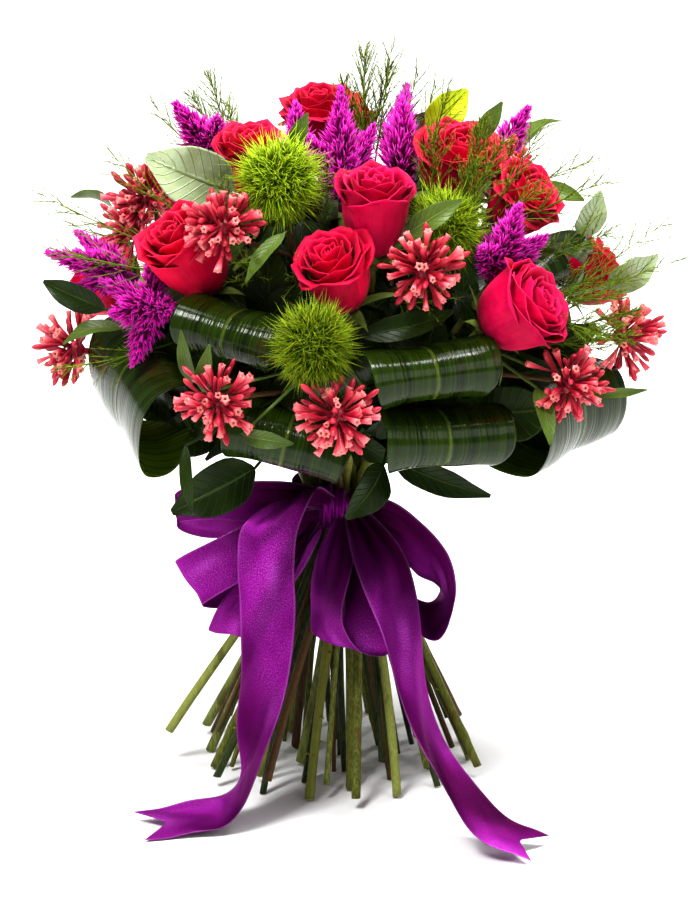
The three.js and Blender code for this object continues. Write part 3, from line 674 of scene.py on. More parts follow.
@dataclass(frozen=True)
class PithFinish:
    """The cut end of a stem: pale pith inside a greener rim."""

    name: str = "cut_pith"
    pith: Colour = (0.62, 0.6, 0.36)
    rim: Colour = (0.3, 0.33, 0.12)

    def material(self) -> bpy.types.Material:
        """Builds the material. The map's second number is 1 at the middle and 0 at the rim."""
        look = Look(self.name)
        grain = look.noise(look.place(), 1500.0, 3.0)
        colour = look.ramp(look.along(), [(0.0, self.rim), (0.35, self.pith), (1.0, self.pith)])
        colour = look.mix(look.range(grain, 0.4, 0.7, (0.0, 0.5)), colour, self.rim)
        look.bump(grain, 0.2)
        return look.finish(colour, 0.7)


@dataclass(frozen=True)
class SatinFinish:
    """Purple satin: a bright face and a duller, redder reverse, told apart by the tone, which also carries
    painted shade.

    The tone is 0 on the face and 1 on the reverse. A tone between, and the rise and fall that each strip adds
    to it, is painted shade and painted light: it turns the face toward the reverse's dark colours. Painted
    glints of the face's sheen grow weaker with it. The map is in millimetres.
    """

    name: str = "satin_ribbon"
    # dark and bright: the painted shade and painted highlight of the broad satin bands; body is the satin's
    # own purple.
    dark: Colour = (0.13, 0.002, 0.12)
    body: Colour = (0.25, 0.004, 0.24)
    bright: Colour = (0.4, 0.035, 0.42)
    # light: the colour of the painted glints; the selvedge is tinted a little toward it.
    light: Colour = (0.9, 0.34, 0.95)
    # reverse_dark and reverse: the reverse's own colours, which also serve as the painted shade of the face.
    reverse_dark: Colour = (0.035, 0.0, 0.022)
    reverse: Colour = (0.085, 0.0, 0.06)

    def material(self) -> bpy.types.Material:
        """Builds the material."""
        look = Look(self.name)
        uv = look.uv()
        floats = look.noise(look.scaled(uv, (5.0, 0.5, 1.0)), 1.0, 3.0)
        grain = look.noise(look.scaled(uv, (1.7, 1.2, 1.0)), 1.0, 3.0)
        clouds = look.noise(look.scaled(uv, (0.032, 0.016, 1.0)), 1.0, 1.5)
        weave = look.node("TexWave", {"Vector": uv, "Scale": 1.6}).outputs["Fac"]
        selvedge = look.range(look.math("ABSOLUTE", look.across()), 17.4, 18.2, (0.0, 1.0))
        # Broad cloud bands from dark to bright: painted shade and painted highlight for the satin's sheen.
        stops = [(0.3, self.dark), (0.44, self.body), (0.54, self.body), (0.68, self.bright)]
        colour = look.ramp(clouds, stops)
        # The reverse's colours, which the tone also mixes in as painted shade.
        reverse_and_shade = look.ramp(clouds, [(0.34, self.reverse_dark), (0.62, self.reverse)])
        colour = look.mix(look.tone(), colour, reverse_and_shade)
        # Painted glints of the satin's sheen, weaker in the dark cloud bands, on the reverse and in painted
        # shade.
        painted_glint = look.range(grain, 0.5, 0.72, (0.0, 0.6))
        painted_glint = look.math("MULTIPLY", painted_glint, look.range(clouds, 0.4, 0.65, (0.25, 1.0)))
        painted_glint = look.math("MULTIPLY", painted_glint, look.range(look.tone(), 0.0, 0.8, (1.0, 0.1)))
        colour = look.mix(painted_glint, colour, self.light)
        colour = look.mix(look.math("MULTIPLY", selvedge, 0.12), colour, self.light)
        look.bump(floats, 0.12)
        look.bump(grain, 0.14)
        look.bump(weave, 0.04)
        look.bump(selvedge, 0.2)
        rough = look.range(grain, 0.3, 0.7, (0.26, 0.38))
        return look.finish(
            colour, rough, Anisotropic=0.5, Specular_IOR_Level=0.06, Specular_Tint=(0.9, 0.1, 0.8, 1.0),
            Metallic=0.62,
        )


@dataclass(frozen=True)
class TwineFinish:
    """Jute twine: twisted strands seen as slanting stripes."""

    name: str = "twine_jute"
    dark: Colour = (0.12, 0.07, 0.03)
    light: Colour = (0.42, 0.3, 0.16)

    def material(self) -> bpy.types.Material:
        """Builds the material."""
        look = Look(self.name)
        place = look.scaled(look.place(), (300.0, 300.0, 1400.0))
        strands = look.node("TexWave", {"Vector": place, "Scale": 0.4, "Distortion": 3.0}).outputs["Fac"]
        colour = look.mix(strands, self.dark, self.light)
        look.bump(strands, 0.6)
        return look.finish(colour, 0.85)


@dataclass(frozen=True)
class FloorFinish:
    """A plain, nearly white studio floor."""

    name: str = "studio_floor"
    paint: Colour = (0.9, 0.9, 0.9)
    shade: Colour = (0.86, 0.86, 0.86)

    def material(self) -> bpy.types.Material:
        """Builds the material."""
        look = Look(self.name)
        clouds = look.noise(look.place(), 2.0, 2.0)
        return look.finish(look.mix(clouds, self.paint, self.shade), 0.6, Specular_IOR_Level=0.2)


@dataclass(frozen=True)
class StudioLight:
    """A soft box: where it stands, what it aims at, its size in metres and its power in watts.

    One whose spread is given instead shines evenly from overhead: the spread in degrees, and the power in
    watts per square metre.
    """

    name: str
    place: tuple[float, float, float]
    target: tuple[float, float, float]
    size: float
    power: float
    spread: float = 0.0

    def build(self) -> None:
        """Adds the light."""
        data = bpy.data.lights.new(self.name, "SUN" if self.spread else "AREA")
        if self.spread:
            data.angle = float(np.radians(self.spread))
        else:
            data.shape = "SQUARE"
            data.size = self.size
        data.energy = self.power
        lamp = added(self.name, data)
        way = np.array(self.target) - np.array(self.place)
        level = float(np.hypot(way[0], way[1]))
        turn = (np.arctan2(level, -way[2]), 0.0, np.arctan2(-way[0], way[1]))
        lamp.rotation_euler = Euler([float(a) for a in turn])
        lamp.location = self.place


def dressed(finish: object) -> bpy.types.Material:
    """The finish's material, built once."""
    return bpy.data.materials.get(finish.name) or finish.material()


# ---- heads ----


@dataclass(frozen=True)
class Head:
    """What stands at the end of a stem or a branch: the middle of what shows of it, and the way it faces."""

    prefix: ClassVar[str]
    name: str
    x: float
    y: float
    z: float
    azimuth: float
    elevation: float

    @property
    def node(self) -> str:
        """The solid that it replaces."""
        return self.prefix + self.name

    @property
    def way(self) -> Array:
        """The direction that it faces."""
        return aim(self.azimuth, self.elevation)

    @property
    def reach(self) -> float:
        """How far its foot stands behind its middle."""
        return 0.0

    @property
    def seat(self) -> Array:
        """Its foot, where the stem or the branch ends."""
        return np.array([self.x, self.y, self.z]) - self.reach * self.way

    def pose(self, roll: float = 0.0) -> Pose:
        """Its foot's place and its turn."""
        return Pose.facing(self.seat, self.azimuth, self.elevation, roll)

    def draws(self) -> Draws:
        """Its own random draws, seeded by its name."""
        return np.random.default_rng(sum(map(ord, self.name)))


# ---- roses ----


class RoseColour(Enum):
    """The roses' reds."""

    PINK = PetalFinish("rose_pink", (0.2, 0.0, 0.022), (0.6, 0.0, 0.062), (0.8, 0.01, 0.13))
    CRIMSON = PetalFinish("rose_crimson", (0.16, 0.0, 0.014), (0.66, 0.0, 0.045), (0.8, 0.004, 0.08))
    SCARLET = PetalFinish("rose_scarlet", (0.2, 0.0, 0.014), (0.64, 0.0, 0.042), (0.8, 0.02, 0.09))


SEPAL = BroadLeafFinish("rose_sepal", (0.06, 0.1, 0.012), (0.2, 0.27, 0.05), (0.34, 0.4, 0.14), 0.45, 0.2)


@dataclass(frozen=True)
class Rose(Head):
    """One rose: closed petals wound round its heart, and open petals that roll back at the rim."""

    prefix: ClassVar[str] = "rose_"
    radius: float
    height: float
    opening: float
    colour: RoseColour = RoseColour.PINK
    petals: int = 27
    base: float = 5.0

    @property
    def reach(self) -> float:
        """A little more than half its height."""
        return 0.55 * self.height

    def petal_grids(self, chance: Draws) -> tuple[Array, Array]:
        """The petals, from the heart outwards, one golden angle apart.

        Each petal's section is a bowl, r = reach (1 - (1 - v)^3)^0.6 over z = top v^1.08. Its direction is
        then turned outwards toward the rim, most at both sides of the tip, and the section is added up again
        from the base, so that a rolled petal keeps its length. Sides are shorter than the middle.

        Args:
            chance: the random draws.

        Returns:
            The fronts, (petals, rows, columns, 3), and the map, (rows, columns, 2).
        """
        count, opening = self.petals, self.opening
        i = np.arange(count)[:, None, None]
        t = i / (count - 1)
        v = np.array([0, 0.06, 0.14, 0.24, 0.36, 0.48, 0.6, 0.7, 0.79, 0.87, 0.94, 0.985, 1.0])[None, :, None]
        u = np.array([-1, -0.94, -0.76, -0.5, -0.25, 0, 0.25, 0.5, 0.76, 0.94, 1.0])[None, None, :]
        phase = chance.uniform(0, 2 * np.pi, (count, 1, 1))
        luck = chance.uniform(-1, 1, (count, 1, 1))
        reach = self.radius * (0.08 + 0.84 * t**0.95) * (0.96 + 0.1 * opening * t)
        top = self.height * (0.84 + 0.1 * np.minimum(1, t / 0.3) - (0.1 + 0.22 * opening) * t**1.8)
        top = top * (1 + 0.05 * luck * t) - self.base
        half = np.radians(lerp(118.0, 66.0, smooth(t, 0.0, 0.45)))
        across = np.diff(reach * (1 - (1 - v) ** 3) ** 0.6, axis=1)
        rise = np.diff(top * v**1.08, axis=1)
        middle = (v[:, 1:] + v[:, :-1]) / 2
        roll = np.radians(8 + (58 + 90 * opening) * t**1.6) * (1 + 0.5 * luck)
        roll = roll * (0.5 + 0.6 * np.exp(-(((np.abs(u) - 0.55) / 0.36) ** 2)))
        angle = np.arctan2(across, rise) + roll * smooth(middle, 0.82 - 0.14 * opening, 1.02)
        angle = angle + np.radians(26 * opening) * t**2 * smooth(middle, 0.25, 0.9)
        angle = angle - np.radians(15) * (1 - t) ** 1.5 * smooth(middle, 0.45, 1.0)
        length = 1 - (0.07 + 0.15 * np.minimum(1, t / 0.4)) * np.abs(u) ** 2.6
        length = length + 0.035 * t * np.exp(-((u / 0.15) ** 2)) + 0.014 * np.sin(9 * u + phase)
        step = np.hypot(across, rise) * length
        r = 2.2 + running(step * np.sin(angle), axis=1)
        z = self.base + running(step * np.cos(angle), axis=1)
        spiral = 0.5 * self.radius * 0.84 / count * half * u / GOLDEN_ANGLE
        r = r + spiral * smooth(v, 0.0, 0.3) + 0.7 * t * np.sin(2.6 * u + phase) * smooth(v, 0.3, 1.0)
        r = r + 0.8 * np.sin(6.4 * u + 2 * phase) * smooth(v, 0.66, 1.0)
        a = GOLDEN_ANGLE * i + half * u + 0.15 * luck
        return about_z(a, r, z), stacked(u[0] / 2 + 0.5, v[0])

    def sepal_grids(self, chance: Draws) -> tuple[Array, Array]:
        """Five narrow sepals that leave the hip outwards and then bend down.

        Each is a path whose angle from the axis grows from 62 to about 122 degrees, with a lance outline.

        Args:
            chance: the random draws.

        Returns:
            The fronts and the map.
        """
        k = np.arange(5)[:, None]
        v = edged(9, 0.03)[None]
        length = self.height * (0.5 + 0.1 * chance.uniform(-1, 1, (5, 1)))
        turn = np.radians(62 + (60 + 25 * chance.uniform(-1, 1, (5, 1))) * v)
        step = length * np.gradient(v[0])[None]
        r = 5.2 + np.cumsum(step * np.sin(turn), axis=1) - step * np.sin(turn)
        z = 5.0 + np.cumsum(step * np.cos(turn), axis=1) - step * np.cos(turn)
        half = 3.6 * np.sin(np.pi * (0.22 + 0.77 * v)) ** 0.9 * (1 - v**3 * 0.4)
        side = edged(4, 0.06) * 2 - 1
        a = np.radians(72) * k + 0.3 + 0.2 * chance.uniform(-1, 1, (5, 1))
        cross = about_z(a + np.pi / 2)
        spine = about_z(a, r, z)
        fold = 0.25 * half[..., None, None] * np.abs(side)[:, None] * UP
        front = spine[:, :, None] + half[..., None, None] * side[:, None] * cross[:, :, None] - fold
        return front, stacked(side[None, :], v[0][:, None])

    def build(self) -> None:
        """Builds the bloom and its calyx."""
        chance = self.draws()
        pose = self.pose(15.0 * len(self.name))
        front, uv = self.petal_grids(chance)
        bloom = Surface()
        bloom.sheets(pose.place(front), PETAL_THICKNESS, uv, chance.uniform(0, 0.55, self.petals))
        bloom.write(self.node, dressed(self.colour.value), Slot.ROSE, self.node)
        calyx = Surface()
        profile = np.array([[3.2, -0.2], [4.6, 0.4], [5.6, 2.4], [5.8, 4.6], [6.8, 6.6], [4.0, 8.5]])
        rings = about_z(circle(14), profile[:, :1], profile[:, 1:])
        ends = np.array([[0, 0, -0.4], [0, 0, 8.6]])
        calyx.rounds(pose.place(rings)[None], pose.place(ends)[None], np.linspace(0, 1, 8), 0.3)
        front, uv = self.sepal_grids(chance)
        calyx.sheets(pose.place(front), PETAL_THICKNESS, uv, chance.uniform(0, 1, 5))
        calyx.write(self.node + "_calyx", dressed(SEPAL), Slot.STEM)


# ---- dianthus balls ----

BRISTLE = GrowthFinish(
    "dianthus_bristle",
    (
        (0.0, (0.015, 0.03, 0.001)), (0.35, (0.18, 0.3, 0.003)),
        (0.75, (0.52, 0.76, 0.02)), (1.0, (0.76, 0.92, 0.14)),
    ),
    (0.06, 0.1, 0.001), shading=0.75, roughness=0.55, gloss=0.1,
)


def cap_directions(count: int, spread: float, chance: Draws, jitter: float) -> Array:
    """Directions spread evenly over a cap round +Z: one golden angle apart, with even steps in height.

    Args:
        count: how many.
        spread: the cap's half angle in degrees.
        chance: the random draws.
        jitter: how far a direction strays from the even spread.

    Returns:
        Unit vectors, (count, 3).
    """
    k = np.arange(count)
    height = 1 - (1 - np.cos(np.radians(spread))) * (k + 0.5) / count
    level = np.sqrt(np.maximum(0.0, 1 - height**2))
    even = about_z(GOLDEN_ANGLE * k, level, height)
    return unit(even + jitter * chance.normal(size=(count, 3)))


def ball(radius: float, centre: Array, rings: int = 7, sides: int = 12) -> tuple[Array, Array]:
    """A round body's rings and poles.

    Args:
        radius: in millimetres.
        centre: its middle.
        rings: between the poles.
        sides: of a ring.

    Returns:
        The rings, (1, rings, sides, 3), and the poles, (1, 2, 3).
    """
    low = (-np.pi / 2 + np.pi * np.arange(1, rings + 1) / (rings + 1))[:, None]
    body = about_z(circle(sides), np.cos(low), np.sin(low)) * radius + centre
    poles = np.array([centre - radius * UP, centre + radius * UP])
    return body[None], poles[None]


@dataclass(frozen=True)
class Dianthus(Head):
    """A green dianthus ball: fine bristles all round a core, and a few narrow leaves under it.

    shade is painted shade added to the bristles' tone: the higher it is, the darker they are.
    """

    prefix: ClassVar[str] = "dianthus_"
    radius: float
    shade: float = 0.0
    bristles: int = 2700

    @property
    def reach(self) -> float:
        """Its radius."""
        return self.radius

    def build(self) -> None:
        """Builds the ball. A bristle leaves the core along its radius and bends to one side near its tip."""
        chance = self.draws()
        pose = self.pose()
        centre = np.array([0, 0, self.radius + 3.0])
        head = Surface()
        way = cap_directions(self.bristles, 172, chance, 0.06)
        bend = chance.normal(size=way.shape) * 0.5
        reach = self.radius * chance.uniform(0.86, 1.0, (self.bristles, 1))
        shares = np.array([0.58, 0.83, 1.0])
        paths = [centre + way * reach * s + bend * reach * smooth(s, 0.55, 1.3) * 0.8 for s in shares]
        thick = self.radius / 26.0
        radii = np.array([0.32, 0.38]) * thick
        # Painted shade added to each bristle's random tone.
        tones = chance.uniform(0, 1, self.bristles) + self.shade
        head.tubes(pose.place(np.stack(paths, axis=1)), radii, 3, tones, flat=0.7)
        rings, poles = ball(self.radius * 0.6, centre)
        head.rounds(pose.place(rings), pose.place(poles), np.linspace(0, 0.3, 9), 1.0)
        neck = np.array([[0, 0, -0.2], [0, 0, self.radius * 0.4], [0, 0, self.radius * 0.6]], float)
        head.tubes(pose.place(neck)[None], np.array([2.4, 3.2]), 8, 0.6, along=np.array([0.3, 0.5, 0.5]))
        turn = circle(12)[:, None] + chance.uniform(-0.2, 0.2, (12, 1))
        s = np.linspace(0, 1, 7)[None]
        r = 2.5 + self.radius * (0.75 + 0.35 * chance.uniform(0, 1, (12, 1))) * s
        z = self.radius * (0.35 * np.sin(np.pi * 0.6 * s) - 0.3 * s**2)
        radii = 1.1 * np.sin(np.pi * (0.3 + 0.68 * s[0, :-1]))
        bracts = pose.place(about_z(turn, r, z))
        head.tubes(bracts, radii, 4, chance.uniform(0.4, 1, 12), np.linspace(0.3, 0.7, 7), 0.35)
        head.write(self.node, dressed(BRISTLE), Slot.DIANTHUS, self.node)


# ---- celosia ----

FLORET = GrowthFinish(
    "celosia_floret",
    (
        (0.0, (0.05, 0.0, 0.03)), (0.35, (0.34, 0.0, 0.2)),
        (0.7, (0.76, 0.0, 0.48)), (1.0, (0.95, 0.12, 0.74)),
    ),
    (0.2, 0.0, 0.11), shading=0.5, roughness=0.5, sheen=0.05, gloss=0.12,
)


@dataclass(frozen=True)
class Celosia(Head):
    """A celosia head: a stalk and its plumes, each (length, radius, tilt, turn, start height)."""

    prefix: ClassVar[str] = "celosia_"
    plumes: tuple[tuple[float, float, float, float, float], ...]
    reach: float = 30.0

    @staticmethod
    def florets(length: float, radius: float, chance: Draws) -> Array:
        """One plume's florets from the origin along +Z, in tufts of five that stand one golden angle apart.

        The plume's fullness is (0.35 + 0.65 sin(pi min(1/2, 3t/2))) (1 - t^2.4). A tuft lies nearly level
        at the foot and nearly upright at the top, and its florets fan out and curve up.

        Args:
            length: of the plume.
            radius: of the plume.
            chance: the random draws.

        Returns:
            The florets' paths, (n, 3, 3).
        """
        tufts = int(0.13 * length * radius)
        t = (np.arange(tufts) + 0.5) / tufts
        full = (0.35 + 0.65 * np.sin(np.pi * np.minimum(0.5, t * 1.5))) * (1 - t**2.4)
        a = GOLDEN_ANGLE * np.arange(tufts) + chance.normal(size=tufts) * 0.08
        lean = np.radians(lerp(86.0, 12.0, t**0.8) + chance.normal(size=tufts) * 5)
        reach = (radius * full * 1.08 + 3.0) * chance.uniform(0.88, 1.12, tufts)
        radial = about_z(a)
        root = UP * (t * length * 0.95 - reach * np.cos(lean) * 0.45)[:, None] + radial * 0.5
        way = np.sin(lean)[:, None] * radial + np.cos(lean)[:, None] * UP
        middle = (root + way * (reach * 0.45)[:, None])[:, None]
        fan = unit(way[:, None] + 0.42 * chance.normal(size=(tufts, 5, 3)) + 0.3 * UP)
        size = (reach * 0.5)[:, None, None] * chance.uniform(0.8, 1.25, (tufts, 5, 1)) + 1.0
        foot = lerp(root[:, None], middle, 0.4) + 0 * fan
        path = np.stack([foot, middle + fan * size * 0.35, middle + fan * size + UP * size * 0.14], axis=2)
        return path.reshape(-1, 3, 3)

    def build(self) -> None:
        """Builds the stalk and the plumes."""
        chance = self.draws()
        pose = self.pose()
        head = Surface()
        stalk = np.array([[0, 0, -0.2], [0, 0, 8], [0, 0, 15]], float)
        head.tubes(pose.place(stalk)[None], np.array([3.2, 3.0]), 8, 0.9, along=np.array([0.0, 0.1, 0.1]))
        for length, radius, tilt, turn, start in self.plumes:
            a, b = np.radians(turn), np.radians(tilt)
            down = np.array([[1, 0, 0], [0, np.cos(b), np.sin(b)], [0, -np.sin(b), np.cos(b)]])
            around = np.array([[np.cos(a), np.sin(a), 0], [-np.sin(a), np.cos(a), 0], [0, 0, 1]])
            lean = Pose(np.array([0, 0, start], float), down @ around)
            paths = self.florets(length, radius, chance)
            tones = chance.uniform(0, 1, len(paths))
            radii = np.array([0.8, 1.0]) * (0.75 + radius / 60)
            head.tubes(pose.place(lean.place(paths)), radii, 3, tones, flat=0.75)
            spine = UP * np.linspace(-1, length * 0.93, 8)[:, None]
            girth = radius * 0.34 * np.array([0.5, 0.9, 1.0, 0.9, 0.7, 0.5, 0.3])
            head.tubes(pose.place(lean.place(spine))[None], girth, 8, 1.0, along=np.zeros(8))
        head.write(self.node, dressed(FLORET), Slot.CELOSIA, self.node)


# ---- trumpet clusters ----

TRUMPET = GrowthFinish(
    "trumpet_tube",
    (
        (0.0, (0.06, 0.0, 0.004)), (0.3, (0.3, 0.006, 0.024)), (0.66, (0.72, 0.05, 0.09)),
        (0.88, (0.93, 0.26, 0.29)), (0.965, (0.85, 0.3, 0.24)), (1.0, (0.25, 0.25, 0.03)),
    ),
    (0.3, 0.005, 0.022), shading=0.65, roughness=0.34, gloss=0.35,
)


@dataclass(frozen=True)
class Trumpets(Head):
    """A cluster of slender tube flowers with star-shaped mouths, with closed buds among them."""

    prefix: ClassVar[str] = "trumpets_"
    length: float
    spread: float
    flowers: int = 38
    buds: int = 34
    reach: float = 16.0
    lobes: int = 5

    def tubes(self, way: Array, bud: bool, chance: Draws) -> tuple[Array, ...]:
        """Tubes that leave the heart at different depths.

        An open one widens toward its mouth, where five lobes spread and its throat turns in again. A bud
        swells near its end and closes.

        Args:
            way: the tubes' directions, (n, 3).
            bud: whether they are closed.
            chance: the random draws.

        Returns:
            The rings, the poles and the lengthwise values.
        """
        n, sides = len(way), 6 if bud else 2 * self.lobes
        if bud:
            place = np.array([0.0, 0.35, 0.62, 0.8, 0.93, 1.01, 1.03, 1.04])
            radius = np.array([0.5, 0.85, 1.4, 1.95, 1.75, 0.9, 0.4, 0.1])[:, None] + np.zeros(sides)
            along = np.linspace(0.0, 0.86, 10)
            size, sunk = chance.uniform(0.55, 1.0, n), chance.uniform(-2, 4, (n, 1))
        else:
            place = np.array([0.0, 0.34, 0.66, 0.86, 0.94, 1.0, 0.985, 0.9])
            star = np.where(np.arange(sides) % 2 == 0, 1.0, -0.25)
            lobe = np.array([0.0, 0.0, 0.0, 0.05, 0.2, 0.95, 0.25, 0.0])
            girth = np.array([0.5, 0.8, 1.4, 2.0, 2.05, 1.8, 0.95, 0.6])
            radius = girth[:, None] + lobe[:, None] * star
            along = np.array([0.0, 0.0, 0.3, 0.6, 0.78, 0.86, 0.93, 0.95, 0.99, 1.0])
            size, sunk = chance.uniform(0.6, 0.98, n), chance.uniform(-1, 6, (n, 1))
        root = np.array([0, 0, 8.5]) + way * (7.0 - sunk) + chance.normal(size=(n, 3)) * 1.6
        way = unit(way + chance.normal(size=(n, 3)) * 0.27)
        bent = unit(chance.normal(size=(n, 3))) * 0.07
        helper = unit(np.cross(way, chance.normal(size=(n, 3))))
        other = np.cross(way, helper)
        a = circle(sides)[:, None]
        spokes = np.cos(a) * helper[:, None] + np.sin(a) * other[:, None]
        reach = (self.length * size)[:, None, None]
        steps = place[None, :, None]
        middle = root[:, None] + reach * (steps * way[:, None] + steps**2 * bent[:, None])
        scale = 1 + 0.12 * chance.normal(size=(n, 1, 1, 1))
        rings = middle[:, :, None] + radius[None, :, :, None] * spokes[:, None] * scale
        last = middle[:, -1] + way * 0.1 if bud else middle[:, -1] - way * 1.2
        return rings, np.stack([root, last], axis=1), along

    def build(self) -> None:
        """Builds the cluster: open tubes and buds round a heart, on a short stalk."""
        chance = self.draws()
        pose = self.pose()
        every = self.flowers + self.buds
        way = cap_directions(every, min(self.spread + 14, 118), chance, 0.1)
        is_bud = (np.arange(every) * 7 % every) < self.buds
        cluster = Surface()
        for bud in (False, True):
            some = way[is_bud == bud]
            rings, ends, along = self.tubes(some, bud, chance)
            tones = chance.uniform(0.25, 1.0, len(some)) if bud else chance.uniform(0, 0.75, len(some))
            cluster.rounds(pose.place(rings), pose.place(ends), along, tones)
        rings, poles = ball(6.2, np.array([0, 0, 8.5]))
        cluster.rounds(pose.place(rings), pose.place(poles), np.zeros(9), 1.0)
        stalk = np.array([[0, 0, -0.2], [0, 0, 5], [0, 0, 8]], float)
        cluster.tubes(pose.place(stalk)[None], np.array([2.2, 2.6]), 7, 1.0, along=np.zeros(3))
        cluster.write(self.node, dressed(TRUMPET), Slot.TRUMPET, self.node)


# ---- leaves ----


@dataclass(frozen=True)
class RolledLeaf(Head):
    """An aspidistra leaf that runs out, bends over and comes back underneath to its tip.

    With tuck, the tip goes on and turns up inside the roll. An added leaf replaces no solid.
    """

    prefix: ClassVar[str] = "rolled_leaf_"
    roll: float
    width: float
    drop: float
    tuck: bool = False
    added: bool = False
    reach: float = 74.0

    def build(self) -> None:
        """Builds the blade on its path, in local x across, y up and z outwards.

        The half width is w/2 max(0.05, sin(pi v^0.85))^0.55, and a leaf that tucks its tip back in keeps its
        width longer. The blade is hollow along its midrib, and both margins wave a little.
        """
        chance = self.draws()
        pose = self.pose(self.roll)
        reach, drop = self.reach, self.drop
        corners = [
            (0, 0, 3), (0, drop * 0.24, reach * 0.26), (0, drop * 0.48, reach * 0.6),
            (0, drop * 0.38, reach * 0.9), (0, 0, reach), (0, -drop * 0.38, reach * 0.88),
            (0, -drop * 0.5, reach * 0.58), (0, -drop * 0.42, reach * 0.28),
        ]
        if self.tuck:
            corners += [
                (0, -drop * 0.12, reach * 0.16), (0, drop * 0.12, reach * 0.3), (0, drop * 0.16, reach * 0.5),
            ]
        v = edged(70 if self.tuck else 54, 0.004)
        path = spline(np.array(corners, float), v)
        half = self.width / 2 * np.maximum(0.05, np.sin(np.pi * v**0.85)) ** 0.55
        if self.tuck:
            half = self.width / 2 * (0.12 + 0.88 * smooth(v, 0.0, 0.3) ** 0.6)
            half = half * (1 - 0.75 * smooth(v, 0.86, 1.04))
        u = edged(16, 0.012) * 2 - 1
        outwards = unit(np.stack([0 * v, path[:, 1], path[:, 2] - reach * 0.62], axis=-1))
        phase = chance.uniform(0, 2 * np.pi, 4)
        down = v[:, None]
        wave = 1.1 * np.sin(9 * down + phase[0]) * u**3 + 0.9 * np.sin(14 * down + phase[1]) * u**4
        hollow = 2.2 * (1 - np.abs(u)) + 0.5 * np.sin(5 * u + 3 * down + phase[2]) + wave
        margin = half[:, None] * (1 + 0.015 * np.sin(17 * down + phase[3]))
        front = path[:, None] - hollow[..., None] * outwards[:, None]
        front[..., 0] = margin * u
        uv = stacked(margin * u, running(lengths(path, 0))[:, None])
        leaf = Surface()
        leaf.sheets(pose.place(front)[None, :, ::-1], BLADE_THICKNESS, uv[:, ::-1], under=1.0)
        stalk = np.concatenate([[[0, 0, -0.2]], path[:8:2], path[8:9]])
        radii = np.array([2.4, 2.3, 2.1, 1.8, 1.4])[: len(stalk) - 1]
        leaf.tubes(pose.place(stalk)[None], radii, 8, 0.0, along=np.zeros(len(stalk)))
        nodes = () if self.added else (self.node,)
        leaf.write(self.node, dressed(ParallelLeafFinish()), Slot.ASPIDISTRA, *nodes)


class Foliage(Enum):
    """The loose leaves' kinds."""

    DARK = BroadLeafFinish(
        "leaf_dark", (0.003, 0.008, 0.0005), (0.016, 0.034, 0.002), (0.05, 0.09, 0.01), 0.32, 0.14
    )
    GREEN = BroadLeafFinish(
        "leaf_green", (0.03, 0.06, 0.006), (0.1, 0.16, 0.018), (0.26, 0.32, 0.08), 0.36, 0.3
    )
    LIME = BroadLeafFinish("leaf_lime", (0.34, 0.46, 0.006), (0.6, 0.7, 0.02), (0.3, 0.4, 0.02), 0.4, 0.2)
    PALE = BroadLeafFinish("leaf_pale", (0.1, 0.17, 0.04), (0.46, 0.55, 0.32), (0.09, 0.16, 0.03), 0.22, 0.9)


def leaf_grids(
    base: Array, tip: Array, width: Array, bow: Array, from_: Array, rows: int = 12
) -> tuple[Array, Array]:
    """Arched leaves that widen past the base and narrow to the tip, folded a little along the midrib.

    The half width is w/2 sin(pi (0.03 + 0.93 t^0.8)), and the arch is (bow + 0.16 w |side|) sin(pi t) along
    the leaf's normal. from_ is the point that the upper face turns away from.

    Args:
        base: (n, 3).
        tip: (n, 3).
        width: (n,).
        bow: (n,).
        from_: (3,) or (n, 3).
        rows: along a leaf, with half as many across.

    Returns:
        The fronts, (n, rows, columns, 3), and the map, (rows, columns, 2).
    """
    t = edged(rows, 0.015)
    side = edged(rows // 2, 0.04) * 2 - 1
    along = tip - base
    across = unit(np.cross(along, unit(base - from_)))
    normal = unit(np.cross(across, along))
    half = width[:, None] / 2 * np.sin(np.pi * (0.03 + 0.93 * t**0.8))
    wave = 1 + 0.05 * np.sin(11 * t)
    lift = (bow[:, None, None] + 0.16 * width[:, None, None] * np.abs(side)) * np.sin(np.pi * t)[:, None]
    lift = lift + 0.03 * width[:, None, None] * np.sin(13 * t)[:, None] * side**3
    front = base[:, None, None] + along[:, None, None] * t[:, None, None]
    front = front + across[:, None, None] * (half * wave)[:, :, None, None] * side[:, None]
    front = front + normal[:, None, None] * lift[..., None]
    return front, stacked(side[None], t[:, None])


LEAF_SEED = 7
WISP_SEED = 29

